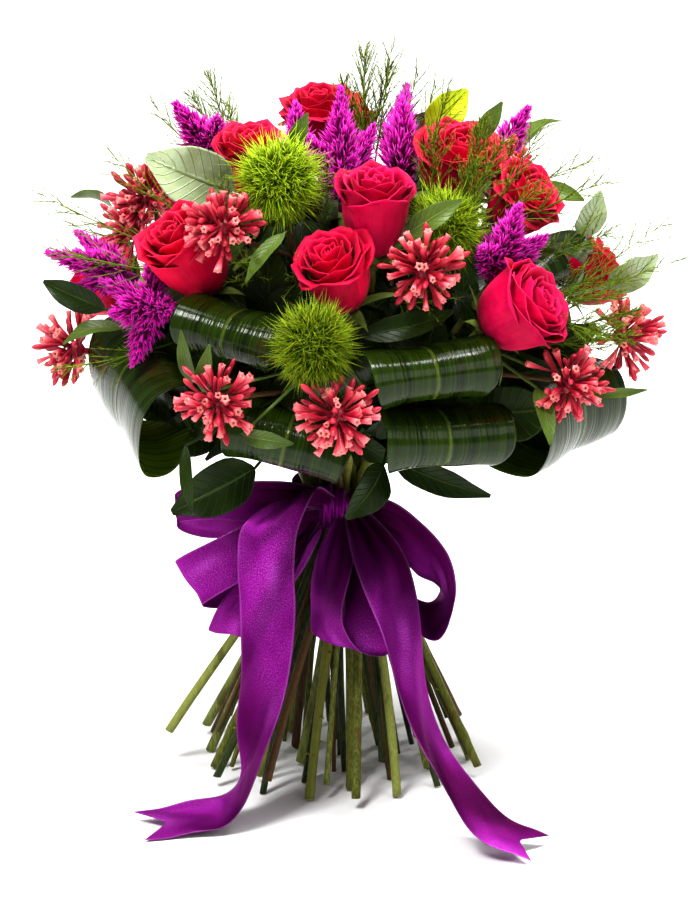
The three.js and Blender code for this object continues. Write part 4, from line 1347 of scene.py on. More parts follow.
# Each loose leaf: where it starts (x, y, z), where it ends (x, y, z), its width, its bow, and how far behind
# the bouquet's core the point stands that its upper face turns away from.
LOOSE_LEAVES = {
    Foliage.DARK: (
        (-54, -112, 236, -106, -136, 214, 34, 5, 0), (28, -104, 236, 4, -130, 208, 26, 5, 0),
        (34, -92, 236, 96, -120, 220, 20, 6, 0), (12, -146, 332, 70, -166, 352, 18, -9, 0),
        (118, -60, 300, 164, -86, 322, 34, 5, 400), (-56, 84, 226, -112, 116, 200, 32, 5, 0),
        (40, 104, 236, 80, 128, 208, 30, 5, 0), (-96, -150, 262, -92, -158, 220, 9, 5, 300),
        (-150, -70, 330, -190, -60, 346, 18, 4, 200), (-92, -10, 290, -152, -14, 284, 50, 5, 400),
        (-88, -6, 266, -144, -10, 254, 50, 5, 400), (-80, -20, 246, -122, -30, 232, 40, 5, 400),
        (106, -34, 250, 162, -40, 240, 44, 5, 400), (104, -24, 276, 160, -30, 272, 44, 5, 400),
        (88, -70, 286, 138, -104, 300, 40, 5, 300), (92, -80, 266, 140, -110, 276, 40, 5, 300),
        (106, -96, 330, 96, -132, 352, 13, 4, 300), (10, -44, 368, 4, 20, 388, 44, 6, 0),
        (36, -24, 364, 64, -72, 376, 36, 6, 0),
    ),
    Foliage.GREEN: (
        (40, -126, 390, 76, -130, 414, 16, 3, 200), (128, 4, 394, 160, 0, 386, 13, 3, 300),
        (-34, -126, 392, -58, -140, 364, 11, 4, 0), (-140, -62, 316, -178, -66, 306, 15, 5, 0),
        (-60, -168, 274, -28, -182, 272, 12, 4, 0), (-150, 92, 356, -184, 104, 366, 24, 5, 0),
        (120, 82, 402, 150, 100, 420, 24, 5, 0), (-30, -70, 432, -20, -74, 458, 12, 3, 500),
        (-84, -150, 296, -80, -162, 330, 11, 4, 300), (-92, -140, 300, -98, -150, 336, 10, 4, 300),
        (124, -122, 292, 132, -150, 262, 13, 4, 300), (160, -90, 280, 196, -98, 284, 7, 4, 300),
        (88, -30, 432, 104, -36, 458, 13, 3, 400),
    ),
    Foliage.LIME: (
        (58, 4, 430, 83, 8, 458, 25, 3, 600),
    ),
    Foliage.PALE: (
        (-68, -34, 398, -124, -44, 424, 42, 6, 700), (158, 0, 362, 170, -6, 394, 20, 3, 500),
        (176, -8, 330, 208, -12, 352, 22, 4, 400),
    ),
}

# ---- ferns ----

NEEDLE = GrowthFinish(
    "fern_needle", ((0.0, (0.05, 0.09, 0.005)), (0.5, (0.13, 0.22, 0.01)), (1.0, (0.26, 0.38, 0.03))),
    (0.05, 0.1, 0.005), roughness=0.55, gloss=0.12,
)


@dataclass(frozen=True)
class Spray:
    """A fine fern spray: a rib, strands that leave it all round, and needles along the strands.

    spread is the longest strand's length against the rib's.
    """

    base: tuple[float, float, float]
    tip: tuple[float, float, float]
    bend: float = 8.0
    strands: int = 22
    needles: int = 11
    spread: float = 0.3

    def add_to(self, surface: Surface, chance: Draws) -> None:
        """Adds the spray. Strands leave one golden angle apart, at 16 to 42 degrees from the rib.

        Args:
            surface: what it is added to.
            chance: the random draws.
        """
        base, tip = np.array(self.base, float), np.array(self.tip, float)
        along = tip - base
        length = float(np.linalg.norm(along))
        way = along / length
        side = unit(np.cross(way, UP if abs(way[2]) < 0.95 else np.array([0.0, 1.0, 0.0])))
        rise = np.cross(side, way)

        def on_rib(share: Array) -> Array:
            """Points on the rib, which bends as the square of the share of its length."""
            return base + along * share[:, None] + rise * self.bend * share[:, None] ** 2

        surface.tubes(on_rib(np.linspace(0, 1, 8))[None], np.linspace(0.7, 0.3, 7), 5, 0.4)
        k = (np.arange(self.strands) + 0.5) / self.strands
        turn = GOLDEN_ANGLE * np.arange(self.strands) + chance.normal(size=self.strands) * 0.3
        root = on_rib(0.12 + 0.84 * k)[:, None]
        out = np.cos(turn)[:, None] * side + np.sin(turn)[:, None] * rise
        open_ = np.radians(chance.uniform(16, 42, self.strands))[:, None]
        heading = np.cos(open_) * way + np.sin(open_) * out
        reach = length * self.spread * np.sin(np.pi * (0.25 + 0.66 * k)) * chance.uniform(0.75, 1.2, len(k))
        reach = reach[:, None, None]

        def on_strands(share: Array) -> Array:
            """Points on the strands, which lift toward the rib's way as the square of the share."""
            share = share[None, :, None]
            return root + heading[:, None] * share * reach + way * 0.16 * share**2 * reach

        tones = chance.uniform(0, 1, self.strands)
        surface.tubes(on_strands(np.linspace(0, 1, 5)), np.array([0.38, 0.33, 0.28, 0.22]), 3, tones)
        foot = on_strands((np.arange(self.needles) + 0.6) / (self.needles + 0.2))
        count = self.strands * self.needles
        stray = chance.normal(size=(self.strands, self.needles, 3))
        lean = unit(heading[:, None] * 0.95 + unit(stray) * 0.42).reshape(count, 3)
        size = chance.uniform(3.5, 8.0, (count, 1)) * (0.6 + length / 160)
        foot = foot.reshape(count, 3)
        needles = np.stack([foot, foot + lean * size * 0.5, foot + lean * size + UP * 0.3], axis=1)
        surface.tubes(needles, np.array([0.22, 0.18]), 3, np.repeat(tones, self.needles))


@dataclass(frozen=True)
class Fern(Head):
    """A fern spray on its own branch."""

    prefix: ClassVar[str] = "fern_"
    length: float
    bend: float

    def build(self) -> None:
        """Builds the spray and two more that fork from its foot."""
        chance = self.draws()
        pose = self.pose()
        surface = Surface()
        foot = tuple(pose.place(np.array([0, 0, -0.2])))
        for x, y, share in ((0, self.bend, 1.0), (16, 4, 0.86), (-15, -6, 0.8)):
            tip = pose.place(np.array([x, y, self.length * share]))
            Spray(foot, tuple(tip), 0.0, strands=26).add_to(surface, chance)
        surface.write(self.node, dressed(NEEDLE), Slot.FERN, self.node)


WISPS = (
    Spray((14, -4, 404), (16, -10, 486), 6, 16, 7, 0.33),
    Spray((22, 0, 404), (34, 2, 488), 4, 15, 7, 0.3),
    Spray((30, 6, 402), (52, 4, 470), 8, 14, 7, 0.33),
    Spray((50, -40, 410), (74, -52, 466), 6, 15, 8, 0.38),
    Spray((60, -70, 392), (58, -104, 448), 8, 19, 10, 0.43),
    Spray((70, -80, 380), (96, -112, 424), 8, 19, 10, 0.45),
    Spray((84, -76, 376), (128, -104, 410), 8, 17, 10, 0.43),
    Spray((96, -60, 390), (134, -72, 446), 8, 16, 8, 0.38),
    Spray((112, -50, 380), (166, -74, 420), -6, 16, 8, 0.38),
    Spray((120, -66, 340), (178, -96, 362), -8, 17, 10, 0.4),
    Spray((110, -80, 330), (160, -132, 338), -8, 16, 10, 0.43),
    Spray((128, -60, 320), (204, -78, 398), -10, 14, 6, 0.3),
    Spray((132, -50, 316), (214, -62, 372), -12, 14, 6, 0.28),
    Spray((120, -70, 306), (166, -112, 322), -8, 18, 10, 0.42),
    Spray((112, -70, 330), (172, -100, 352), -8, 24, 12, 0.42),
    Spray((112, -60, 350), (168, -84, 388), -6, 24, 12, 0.42),
    Spray((-90, -60, 380), (-150, -78, 428), 8, 15, 6, 0.33),
    Spray((-100, -50, 360), (-196, -64, 396), 10, 14, 6, 0.28),
    Spray((-96, -60, 350), (-186, -92, 366), 10, 14, 6, 0.3),
    Spray((-100, -70, 310), (-178, -104, 290), 10, 14, 6, 0.3),
    Spray((-50, -80, 350), (-60, -140, 372), 8, 16, 10, 0.43),
    Spray((-30, -80, 350), (-20, -148, 366), 8, 16, 10, 0.43),
    Spray((-60, -70, 380), (-76, -116, 416), 8, 15, 8, 0.38),
    Spray((30, -90, 340), (60, -160, 350), 8, 15, 8, 0.38),
    Spray((-10, -60, 380), (-6, -116, 424), 8, 15, 8, 0.38),
    Spray((-70, 60, 380), (-130, 84, 428), 8, 15, 6, 0.38),
    Spray((40, 90, 380), (70, 130, 436), 8, 15, 6, 0.38),
    Spray((100, 60, 370), (168, 76, 404), -8, 15, 6, 0.35),
    Spray((-20, 100, 360), (-30, 168, 396), 8, 16, 8, 0.4),
    Spray((-110, 50, 340), (-184, 60, 350), 8, 15, 7, 0.35),
    Spray((70, 90, 330), (110, 150, 330), 8, 16, 9, 0.43),
)

# ---- stems ----


@dataclass(frozen=True)
class StemGrowth:
    """How one kind of stem grows: its skin, its radius, its thin fillers, and its knuckles a gap apart."""

    finish: StemFinish
    radius: float
    fillers: int
    knuckle: float = 0.0
    gap: float = 64.0


class StemKind(Enum):
    """The stems' kinds."""

    ROSE = StemGrowth(
        StemFinish("stem_rose", (0.05, 0.066, 0.006), (0.19, 0.2, 0.03), (0.1, 0.045, 0.014)),
        3.1, 8, 0.22, 46.0,
    )
    CELOSIA = StemGrowth(
        StemFinish("stem_celosia", (0.1, 0.13, 0.018), (0.3, 0.32, 0.08), (0.08, 0.08, 0.015)), 3.4, 6
    )
    LEAF = StemGrowth(
        StemFinish("stem_leaf", (0.007, 0.017, 0.003), (0.05, 0.07, 0.014), (0.02, 0.015, 0.006), 0.3), 2.5, 8
    )
    WOODY = StemGrowth(
        StemFinish("stem_woody", (0.04, 0.018, 0.007), (0.13, 0.07, 0.024), (0.08, 0.075, 0.013), 0.55),
        2.8, 10, 0.22,
    )


WAIST_PITCH = 7.2
THORNS_EACH = 7
STEM_SEED = 39
STEM_KINDS = {"rose": StemKind.ROSE, "dianthus": StemKind.WOODY, "celosia": StemKind.CELOSIA}
WOODY_ROSES = ("rose_upper_left", "rose_top", "rose_back_top", "rose_left_side")

# How far a stem's middle stands across and up from its straight way, where another head is on that way.
BENDS = {
    "dianthus_back_left": (0.0, -24.0),
    "celosia_right": (12.0, 0.0),
    "rolled_leaf_left": (12.0, 0.0),
    "rolled_leaf_top": (26.9, -26.9),
    "rolled_leaf_back_left": (17.0, -17.0),
    "rolled_leaf_back_right": (0.0, -24.0),
    "trumpets_right": (-8.5, -8.5),
}


class Stems:
    """Every stem from its cut end, through the waist, up to its head, and what branches off."""

    def __init__(self, heads: list[Head]) -> None:
        """Works out the routes of the stems that carry these heads."""
        self.whole = [h for h in heads if not isinstance(h, (Trumpets, Fern))]
        self.branched = [h for h in heads if isinstance(h, (Trumpets, Fern))]
        self.routes = {h.node: self.route(h, slot) for h, slot in self.slots().items()}
        shares = np.array([0.12, 0.3, 0.5, 0.7, 0.9])[:, None]
        rows = [r[2:] for r in self.routes.values()]
        self.joints = np.concatenate([lerp(a, b, shares) for r in rows for a, b in zip(r[:-1], r[1:])])

    def slots(self) -> dict[Head, Array]:
        """Pairs each head with a place in a hexagonal packing at the waist, the widest heads first."""
        row, k = np.meshgrid(np.arange(-6, 7), np.arange(-6, 7), indexing="ij")
        free = np.stack([k + row / 2, row * np.sqrt(0.75)], -1).reshape(-1, 2) * WAIST_PITCH
        free = free[np.argsort(np.round(np.hypot(*free.T), 6), kind="stable")][: len(self.whole)]
        order = sorted(self.whole, key=lambda h: -np.hypot(*h.seat[:2]))
        widest = np.hypot(*order[0].seat[:2])
        chosen = {}
        for head in order:
            wish = head.seat[:2] * TIE_RADIUS / widest
            far = np.round(np.hypot(*(free - wish).T), 6)
            free = free[np.argsort(far, kind="stable")]
            chosen[head] = free[0]
            free = free[1:]
        return chosen

    @staticmethod
    def middle_and_top(start: Array, head: Head) -> tuple[Array, Array]:
        """The last two points of a stem's route, which bows under the straight line to the head's seat."""
        top = head.seat - 0.35 * head.way
        line = top - start
        across = unit(np.cross(head.way, UP))
        rise = unit(np.cross(line, across))
        sideways, up = BENDS.get(head.node, (0.0, 0.0))
        middle = lerp(start, top, 0.58) - head.way * 0.08 * np.linalg.norm(line)
        return middle + across * sideways + rise * up, top

    def route(self, head: Head, slot: Array) -> Array:
        """A whole stem's corner points: foot, under and over the waist, middle, and top."""
        a = np.radians(FOOT_TWIST)
        turn = np.array([[np.cos(a), np.sin(a)], [-np.sin(a), np.cos(a)]])
        turned = slot @ turn * FOOT_SPREAD
        short = max(0.0, float(np.hypot(*turned)) - LEVEL_CUT) * SHORT_CUT_SLOPE
        low = np.array([*slot, TIE_HEIGHT - WAIST_LENGTH / 2])
        high = np.array([*slot, TIE_HEIGHT + WAIST_LENGTH / 2])
        return np.array([[*turned, short], low, high, *self.middle_and_top(high, head)])

    def kind(self, head: Head) -> StemKind:
        """The stem's kind: some rose stems are woody."""
        if head.node in WOODY_ROSES:
            return StemKind.WOODY
        return STEM_KINDS.get(head.node.split("_")[0], StemKind.LEAF)

    def bodies(self, kind: StemKind, chance: Draws) -> tuple[Array, Array, Array]:
        """One kind's stems as paths, lengths along them and radii.

        Below the waist a path sways as half a sine. A radius swells at its knuckles as a bell curve of the
        distance to the next one, and is a little less above the waist.

        Args:
            kind: which stems.
            chance: the random draws.

        Returns:
            The paths, (n, m, 3), and the lengths and radii, (n, m).
        """
        growth = kind.value
        shares = np.concatenate([np.linspace(0, 0.25, 26), np.linspace(0.25, 1, 24)[1:]])
        paths = np.stack([spline(self.routes[h.node], shares) for h in self.whole if self.kind(h) == kind])
        sway = chance.normal(size=(len(paths), 1, 3)) * np.array([2.2, 2.2, 0.0])
        paths = paths + sway * np.sin(np.pi * np.clip(shares / 0.22, 0, 1))[None, :, None]
        along = running(lengths(paths, 1))
        phase = chance.uniform(0, growth.gap, (len(paths), 1))
        off = np.abs((along + phase) % growth.gap - growth.gap / 2)
        radii = growth.radius * (1 + growth.knuckle * np.exp(-((off / 2.6) ** 2)))
        radii = radii * np.where(along < 150, 1.0, 0.94) * chance.uniform(0.86, 1.05, (len(paths), 1))
        return paths, along, radii

    @staticmethod
    def cut_foot(paths: Array, rings: Array, chance: Draws) -> Array:
        """Where the first rings lie once the stems are cut at a slant, 10 to 32 degrees from level.

        Each point slides along the stem onto the cut's plane. The ring is then moved along the stem until its
        lowest point is level with the path's start.

        Args:
            paths: (n, m, 3).
            rings: round the paths, (n, m, sides, 3).
            chance: the random draws.

        Returns:
            The first rings, (n, sides, 3).
        """
        tangent = unit(paths[:, 1] - paths[:, 0])
        outward = unit(paths[:, 0] * np.array([1, 1, 0]) + np.array([1e-3, 0, 0]))
        tilt = np.radians(chance.uniform(10, 32, (len(paths), 1)))
        normal = (np.cos(tilt) * -UP + np.sin(tilt) * outward)[:, None]
        slide = np.sum((paths[:, :1] - rings[:, 0]) * normal, -1) / np.sum(tangent[:, None] * normal, -1)
        foot = rings[:, 0] + tangent[:, None] * slide[..., None]
        drop = paths[:, 0, 2] - foot[..., 2].min(axis=1)
        return foot + tangent[:, None] * (drop / tangent[:, 2])[:, None, None]

    def build(self) -> None:
        """Builds the stems by kind, with their cut ends, thorns and branches."""
        chance = np.random.default_rng(STEM_SEED)
        cuts = Surface()
        for kind in StemKind:
            paths, along, radii = self.bodies(kind, chance)
            rings = rings_across(paths, radii, 11, np.array([0.3, 1.0, 0.0]))
            foot = rings[:, 0] = self.cut_foot(paths, rings, chance)
            middle = foot.mean(axis=1, keepdims=True)
            values = np.concatenate([along[:, :1], along, along[:, -1:]], axis=1)
            skin = Surface()
            ends = np.stack([middle[:, 0], paths[:, -1]], axis=1)
            skin.rounds(rings, ends, values, chance.uniform(0, 1, len(paths)))
            tangent = unit(paths[:, 1:2] - paths[:, :1])
            rim = middle + (foot - middle) * 0.96
            cut = np.stack([rim - tangent * 0.2, rim + tangent * 0.4], axis=1)
            cut[:, 0, :, 2] = np.maximum(cut[:, 0, :, 2], 0.0)
            cuts.rounds(cut, cut.mean(axis=2), np.array([1.0, 0.0, 0.0, 0.0]))
            self.add_fillers(skin, kind.value.fillers, chance)
            if kind is StemKind.ROSE:
                self.add_thorns(skin, paths, radii, chance)
            if kind is StemKind.WOODY:
                self.add_branches(skin, chance)
            nodes = ("stems",) if kind is StemKind.ROSE else ()
            skin.write("stems_" + kind.name.lower(), dressed(kind.value.finish), Slot.STEM, *nodes)
        cuts.write("stem_cuts", dressed(PithFinish()), Slot.STEM)

    @staticmethod
    def add_fillers(skin: Surface, count: int, chance: Draws) -> None:
        """Adds thin stems that stand between the others and end inside the waist."""
        a = chance.uniform(0, 2 * np.pi, count)
        far = chance.uniform(0.2, 0.92, count) ** 0.7 * TIE_RADIUS * 0.8
        high = about_z(a, far, TIE_HEIGHT)
        out = far * FOOT_SPREAD
        short = np.maximum(0, out - LEVEL_CUT) * SHORT_CUT_SLOPE + chance.uniform(0, 18, count)
        low = about_z(a + np.radians(FOOT_TWIST), out, 2.0 + short)
        t = np.linspace(0, 1, 12)[:, None]
        sway = chance.normal(size=(count, 1, 3)) * np.array([3.0, 3.0, 0.0]) * np.sin(np.pi * t)
        radii = chance.uniform(1.3, 2.3, (count, 1)) * np.ones(11)
        paths = lerp(low[:, None], high[:, None], t) + sway
        skin.tubes(paths, radii, 7, chance.uniform(0, 1, count), t[:, 0] * 190)

    @staticmethod
    def add_thorns(skin: Surface, paths: Array, radii: Array, chance: Draws) -> None:
        """Adds a few thorns to each stem: short cones that hook downwards."""
        count = len(paths) * THORNS_EACH
        which, step = chance.integers(0, len(paths), count), chance.integers(2, 24, count)
        out = about_z(chance.uniform(0, 2 * np.pi, count), 1.0, 0.1)
        foot = paths[which, step] + out * radii[which, step, None] * 0.6
        size = chance.uniform(2.6, 5.4, (count, 1))
        path = np.stack([foot, foot + out * size * 0.6, foot + out * size - UP * 0.9], axis=1)
        skin.tubes(path, np.array([1.5, 0.7]), 5, 1.0, np.full(3, 60.0))

    def joint_for(self, target: Array) -> Array:
        """The point on a stem from which a branch to the target is shortest, low points first."""
        cost = np.linalg.norm(self.joints - target, axis=1)
        return self.joints[np.argmin(cost + np.maximum(0, self.joints[:, 2] - target[2] + 10))]

    def add_branches(self, skin: Surface, chance: Draws) -> None:
        """Adds the thin branches of the trumpet clusters and the ferns."""
        paths = []
        for head in self.branched:
            joint = self.joint_for(head.seat - 34 * head.way)
            paths.append(spline(np.array([joint, *self.middle_and_top(joint, head)]), np.linspace(0, 1, 15)))
        radii = np.linspace(2.0, 1.5, 14)
        skin.tubes(np.stack(paths), radii, 8, chance.uniform(0, 1, len(paths)), np.linspace(0, 90, 15) + 60)


@dataclass
class LeafCover:
    """The loose leaves, and the small leaves that fill the dome behind the flowers.

    fill_each is how many leaves a stem may carry, and shell_count how many lie like tiles. core is the point
    that the upper faces turn away from, and middle the dome's.
    """

    stems: Stems
    heads: list[Head]
    fill_each: int = 7
    shell_count: int = 210
    core: tuple[float, float, float] = (0.0, 0.0, 244.0)
    middle: tuple[float, float, float] = (0.0, 0.0, 300.0)

    def build(self) -> None:
        """Builds one piece for each kind of leaf."""
        core = np.array(self.core)
        chance = np.random.default_rng(LEAF_SEED)
        for kind in Foliage:
            base, tip, rest = np.split(np.array(LOOSE_LEAVES[kind], float), [3, 6], axis=1)
            width, bow, behind = rest.T
            surface = Surface()
            joints = self.stems.joints
            near = joints[np.argmin(np.linalg.norm(joints[None] - base[:, None], axis=2), axis=1)]
            self.add_petioles(surface, near, base, tip)
            more = []
            if kind in (Foliage.DARK, Foliage.GREEN):
                more.append(self.fill(chance, kind is Foliage.DARK))
            if kind is Foliage.DARK:
                more.append(self.shell(chance))
            for extra in more:
                self.add_petioles(surface, extra[0] - 3 * unit(extra[1] - extra[0]), extra[0], extra[1])
                front, uv = leaf_grids(*extra, core, 8)
                surface.sheets(front, LEAF_THICKNESS, uv, chance.uniform(0, 1, len(front)))
            away = core + behind[:, None] * np.array([0.0, 1.0, 0.0])
            front, uv = leaf_grids(base, tip, width, bow, away)
            surface.sheets(front, LEAF_THICKNESS, uv, chance.uniform(0, 1, len(base)))
            surface.write("leaves_" + kind.name.lower(), dressed(kind.value), Slot.STEM)

    @staticmethod
    def add_petioles(surface: Surface, start: Array, base: Array, tip: Array) -> None:
        """Adds the stalks, each a little way along its leaf's midrib."""
        midrib = [lerp(base, tip, share) for share in (0.0, 0.08, 0.1)]
        path = np.stack([start, lerp(start, base, 0.5), *midrib], axis=1)
        surface.tubes(path, np.array([1.2, 1.1, 1.0, 0.4]), 6, 0.5, np.full(5, 0.02))

    def fill(self, chance: Draws, dark: bool) -> tuple[Array, ...]:
        """Leaves along the upper stems that point outwards and stay under the flowers.

        Args:
            chance: the random draws.
            dark: whether they are of the dark kind, which grows deeper in and more densely.

        Returns:
            Their bases, tips, widths and bows.
        """
        shares = np.linspace(0.52, 0.97, self.fill_each)
        base = np.concatenate([spline(r, shares) for r in self.stems.routes.values()])
        out = unit((base - np.array(self.core)) * np.array([1, 1, 0.8]))
        way = unit(out + unit(chance.normal(size=base.shape)) * 0.75)
        length = chance.uniform(26, 52, (len(base), 1)) * (1.0 if dark else 0.7)
        tip = base + way * length
        room = np.array([150, 150, 112.0]) if dark else np.array([166, 166, 124.0])
        inside = np.linalg.norm((tip - np.array(self.middle)) / room, axis=1) < 1.0
        heads = np.array([h.seat + h.way * 16 for h in self.heads])
        clear = np.linalg.norm(tip[:, None] - heads[None], axis=2).min(axis=1) > 20
        high = base[:, 2] > 236
        keep = inside & clear & high & (chance.uniform(0, 1, len(base)) < (1.0 if dark else 0.3))
        n = int(keep.sum())
        width = length[keep, 0] * chance.uniform(0.36, 0.5, n)
        return base[keep], tip[keep], width, chance.uniform(2, 7, n)

    def shell(self, chance: Draws) -> tuple[Array, ...]:
        """Leaves laid like tiles under the flowers, one golden angle apart over the dome.

        Each lies across its direction from the dome's middle, on an ellipsoid of 0.6 to 0.84 of the dome.

        Args:
            chance: the random draws.

        Returns:
            Their bases, tips, widths and bows.
        """
        k = np.arange(self.shell_count)
        rise = 0.96 - 1.42 * (k + 0.5) / self.shell_count
        level = np.sqrt(1 - rise**2)
        out = about_z(GOLDEN_ANGLE * k, level, rise)
        room = np.array([158.0, 150.0, 118.0])
        place = np.array(self.middle) + out * room * chance.uniform(0.6, 0.84, (len(k), 1))
        flat = unit(np.cross(out, chance.normal(size=out.shape)))
        way = unit(flat + out * chance.uniform(-0.1, 0.5, (len(k), 1)))
        length = chance.uniform(40, 62, (len(k), 1))
        width = length[:, 0] * chance.uniform(0.45, 0.6, len(k))
        return place - way * length * 0.5, place + way * length * 0.5, width, chance.uniform(2, 7, len(k))


# ---- ribbon ----

PLEATS = 3.0
SHADE = 0.52
SHADE_SPAN = 205.0
SHADE_SLANT = 0.9
FLOOR_GAP = 0.7
BAND_TURN = np.radians(390)


@dataclass(frozen=True)
class Strip:
    """A strip of satin ribbon.

    stations are (x, y, z, azimuth, elevation, width share): points on the strip's middle line, the direction
    of its width there, and how much of its width is left where it is gathered. notch is how far the end is
    cut back at its middle, as a share of the route. cup and ripple are the heights of its cross curve and of
    its waves. face is the tone of the grid's front: 0 the bright face, 1 the duller reverse, and a value
    between is painted shade that darkens the whole strip toward the reverse's colours. The grid's back has 1
    less that tone.
    """

    name: str
    stations: tuple[tuple[float, ...], ...]
    held: str = "gathered"
    replaced: tuple[str, ...] = ()
    notch: float = 0.0
    steps: int = 84
    cup: float = 0.9
    ripple: float = 1.0
    face: float = 0.5

    def build(self) -> None:
        """Builds the strip.

        Its middle line and its width run through the stations. Where the strip is gathered, it stands in
        pleats across its width: a sine whose height makes up for the width that is lost. The end is cut back
        at the middle into two tips. Its length is the mean of its threads' lengths. Its tone rises and falls
        by SHADE with the length along it: a cosine that comes later on one side than on the other, painted
        shade and painted light for the way that satin turns from and to the light.
        """
        v = edged(self.steps, 0.003)
        u = edged(14, 0.012) * 2 - 1
        points = np.array([s[:3] for s in self.stations], float)
        width = np.array([aim(s[3], s[4]) * s[5] for s in self.stations])
        cut = self.notch * (1 - np.abs(u))[None] * (v**12)[:, None]
        place = (v[:, None] - cut).ravel()
        middle = spline(points, place).reshape(len(v), len(u), 3)
        wide = spline(width, place, centripetal=False).reshape(len(v), len(u), 3)
        share = np.clip(np.linalg.norm(wide, axis=2), 0.3, 1.0)
        along = unit(np.gradient(middle, axis=0))
        wide_way = unit(wide)
        normal = unit(np.cross(wide_way, along))
        height = RIBBON_WIDTH * share / (np.pi * PLEATS) * 2 * np.sqrt(np.maximum(0, 1 / share - 1)) * 0.7
        phase = sum(map(ord, self.name)) % 7
        fold = height * np.sin(PLEATS * np.pi * u[None] + phase + 1.4 * v[:, None])
        fold = fold + self.cup * (u[None] ** 2 - 0.33) * np.sin(2 * np.pi * v)[:, None]
        ripple = np.sin(1.9 * np.pi * v[:, None] * len(points) / 3 + 3.2 * u[None] + phase)
        fold = fold + self.ripple * ripple * (0.6 + 0.4 * np.sin(5 * v[:, None] + 2 * u[None]))
        fold = fold * smooth(1 - v, 0.0, 0.08)[:, None] if self.notch else fold
        reach = RIBBON_WIDTH / 2 * share * u[None]
        front = middle + wide_way * reach[..., None] + normal * fold[..., None]
        front[..., 2] = np.maximum(front[..., 2], FLOOR_GAP)
        run = running(lengths(front, 0).mean(axis=1))
        # Painted shade and light along the strip, added to its tone.
        shade = SHADE * np.cos(2 * np.pi * run[:, None] / SHADE_SPAN - SHADE_SLANT * u[None])
        uv = stacked(RIBBON_WIDTH / 2 * u[None], run[:, None])
        strip = Surface()
        strip.sheets(front[None], RIBBON_THICKNESS, uv, (self.face + shade)[None], 1 - 2 * self.face)
        piece = strip.write(self.name, dressed(SatinFinish()), Slot.SATIN, *self.replaced)

    @staticmethod
    def area(front: Array) -> float:
        """The area of a grid in square metres: half the cross product of each cell's diagonals."""
        a = front[1:, 1:] - front[:-1, :-1]
        b = front[1:, :-1] - front[:-1, 1:]
        return float(np.linalg.norm(np.cross(a, b), axis=-1).sum() / 2) * MM * MM


# Each strip's face value paints it lighter or darker as a whole: painted light and shade between the face's
# and the reverse's colours.
STRIPS = (
    Strip(
        "ribbon_loop_upper_left",
        (
            (-8, -42, 194, 60, 70, 0.36), (-40, -50, 195, -20, 66, 0.94), (-84, -48, 196, -10, 58, 1),
            (-108, -38, 186, 0, 48, 1), (-94, -26, 174, 0, 48, 1), (-50, -34, 180, -20, 58, 0.94),
            (-8, -40, 188, 60, 70, 0.36),
        ),
        replaced=("ribbon_bow",), face=0.95,
    ),
    Strip(
        "ribbon_loop_lower_left",
        (
            (-8, -40, 186, 40, 60, 0.36), (-38, -52, 174, -30, 64, 0.94), (-74, -60, 158, -56, 60, 1),
            (-99, -58, 142, -66, 60, 1), (-90, -44, 135, -66, 58, 1), (-52, -40, 150, -36, 60, 0.94),
            (-8, -39, 180, 40, 60, 0.36),
        ),
        face=0.45,
    ),
    Strip(
        "ribbon_loop_centre",
        (
            (4, -46, 186, 90, 10, 0.36), (-4, -62, 160, 44, 0, 0.9), (-9, -78, 128, 34, -6, 1),
            (-2, -86, 110, 60, -10, 1), (14, -86, 108, 84, -14, 1), (21, -78, 130, 96, -6, 1),
            (16, -60, 158, 92, 0, 0.9), (6, -44, 184, 90, 10, 0.36),
        ),
        face=0.65,
    ),
    Strip(
        "ribbon_loop_right",
        (
            (2, -43, 192, 90, 76, 0.36), (36, -54, 179, 24, 64, 0.94), (60, -58, 156, 38, 42, 1),
            (70, -54, 132, 14, 4, 1), (61, -48, 112, 10, -24, 1), (45, -42, 118, 6, -16, 1),
            (36, -40, 146, 14, 16, 1), (2, -41, 186, 90, 76, 0.36),
        ),
        face=0.1,
    ),
    Strip(
        "ribbon_loop_small",
        (
            (-20, -44, 176, 90, 40, 0.4), (-46, -54, 150, 70, 14, 0.9), (-68, -60, 122, 50, 6, 1),
            (-74, -56, 106, 44, 4, 1), (-66, -46, 112, 50, 8, 1), (-40, -44, 142, 60, 20, 0.9),
            (-18, -42, 170, 90, 40, 0.4),
        ),
        face=0.25,
    ),
    Strip(
        "ribbon_tail_left",
        (
            (-8, -50, 196, 60, 50, 0.4), (-30, -66, 202, 80, 22, 0.88), (-45, -80, 188, 84, 5, 1),
            (-48, -87, 164, 78, 1, 1), (-46.5, -93, 140, 74, 0, 1), (-48, -103, 111, 64, -2, 1),
            (-51, -113, 80, 46, -4, 1), (-57, -122, 49, 24, -6, 1), (-64, -128, 24, 8, -9, 1),
            (-76, -131, 9, 4, -11, 1), (-100, -134, 5.5, 8, -11, 1), (-130, -141, 4, 14, -8, 1),
        ),
        held="hung", replaced=("ribbon_tail_left",), notch=0.055, ripple=2.8, face=0.72,
    ),
    Strip(
        "ribbon_tail_right",
        (
            (10, -52, 188, 90, 30, 0.4), (24, -70, 168, 98, 0, 0.9), (33, -88, 146, 118, -6, 1),
            (41, -108, 118, 138, -14, 1), (49, -128, 88, 150, -18, 1), (61, -148, 58, 150, -15, 1),
            (80, -166, 34, 148, -7, 1), (100, -176, 16, 150, 3, 1), (128, -182, 5, 160, 5, 1),
        ),
        held="hung", replaced=("ribbon_tail_right",), notch=0.06, ripple=2.2, face=0.45,
    ),
)


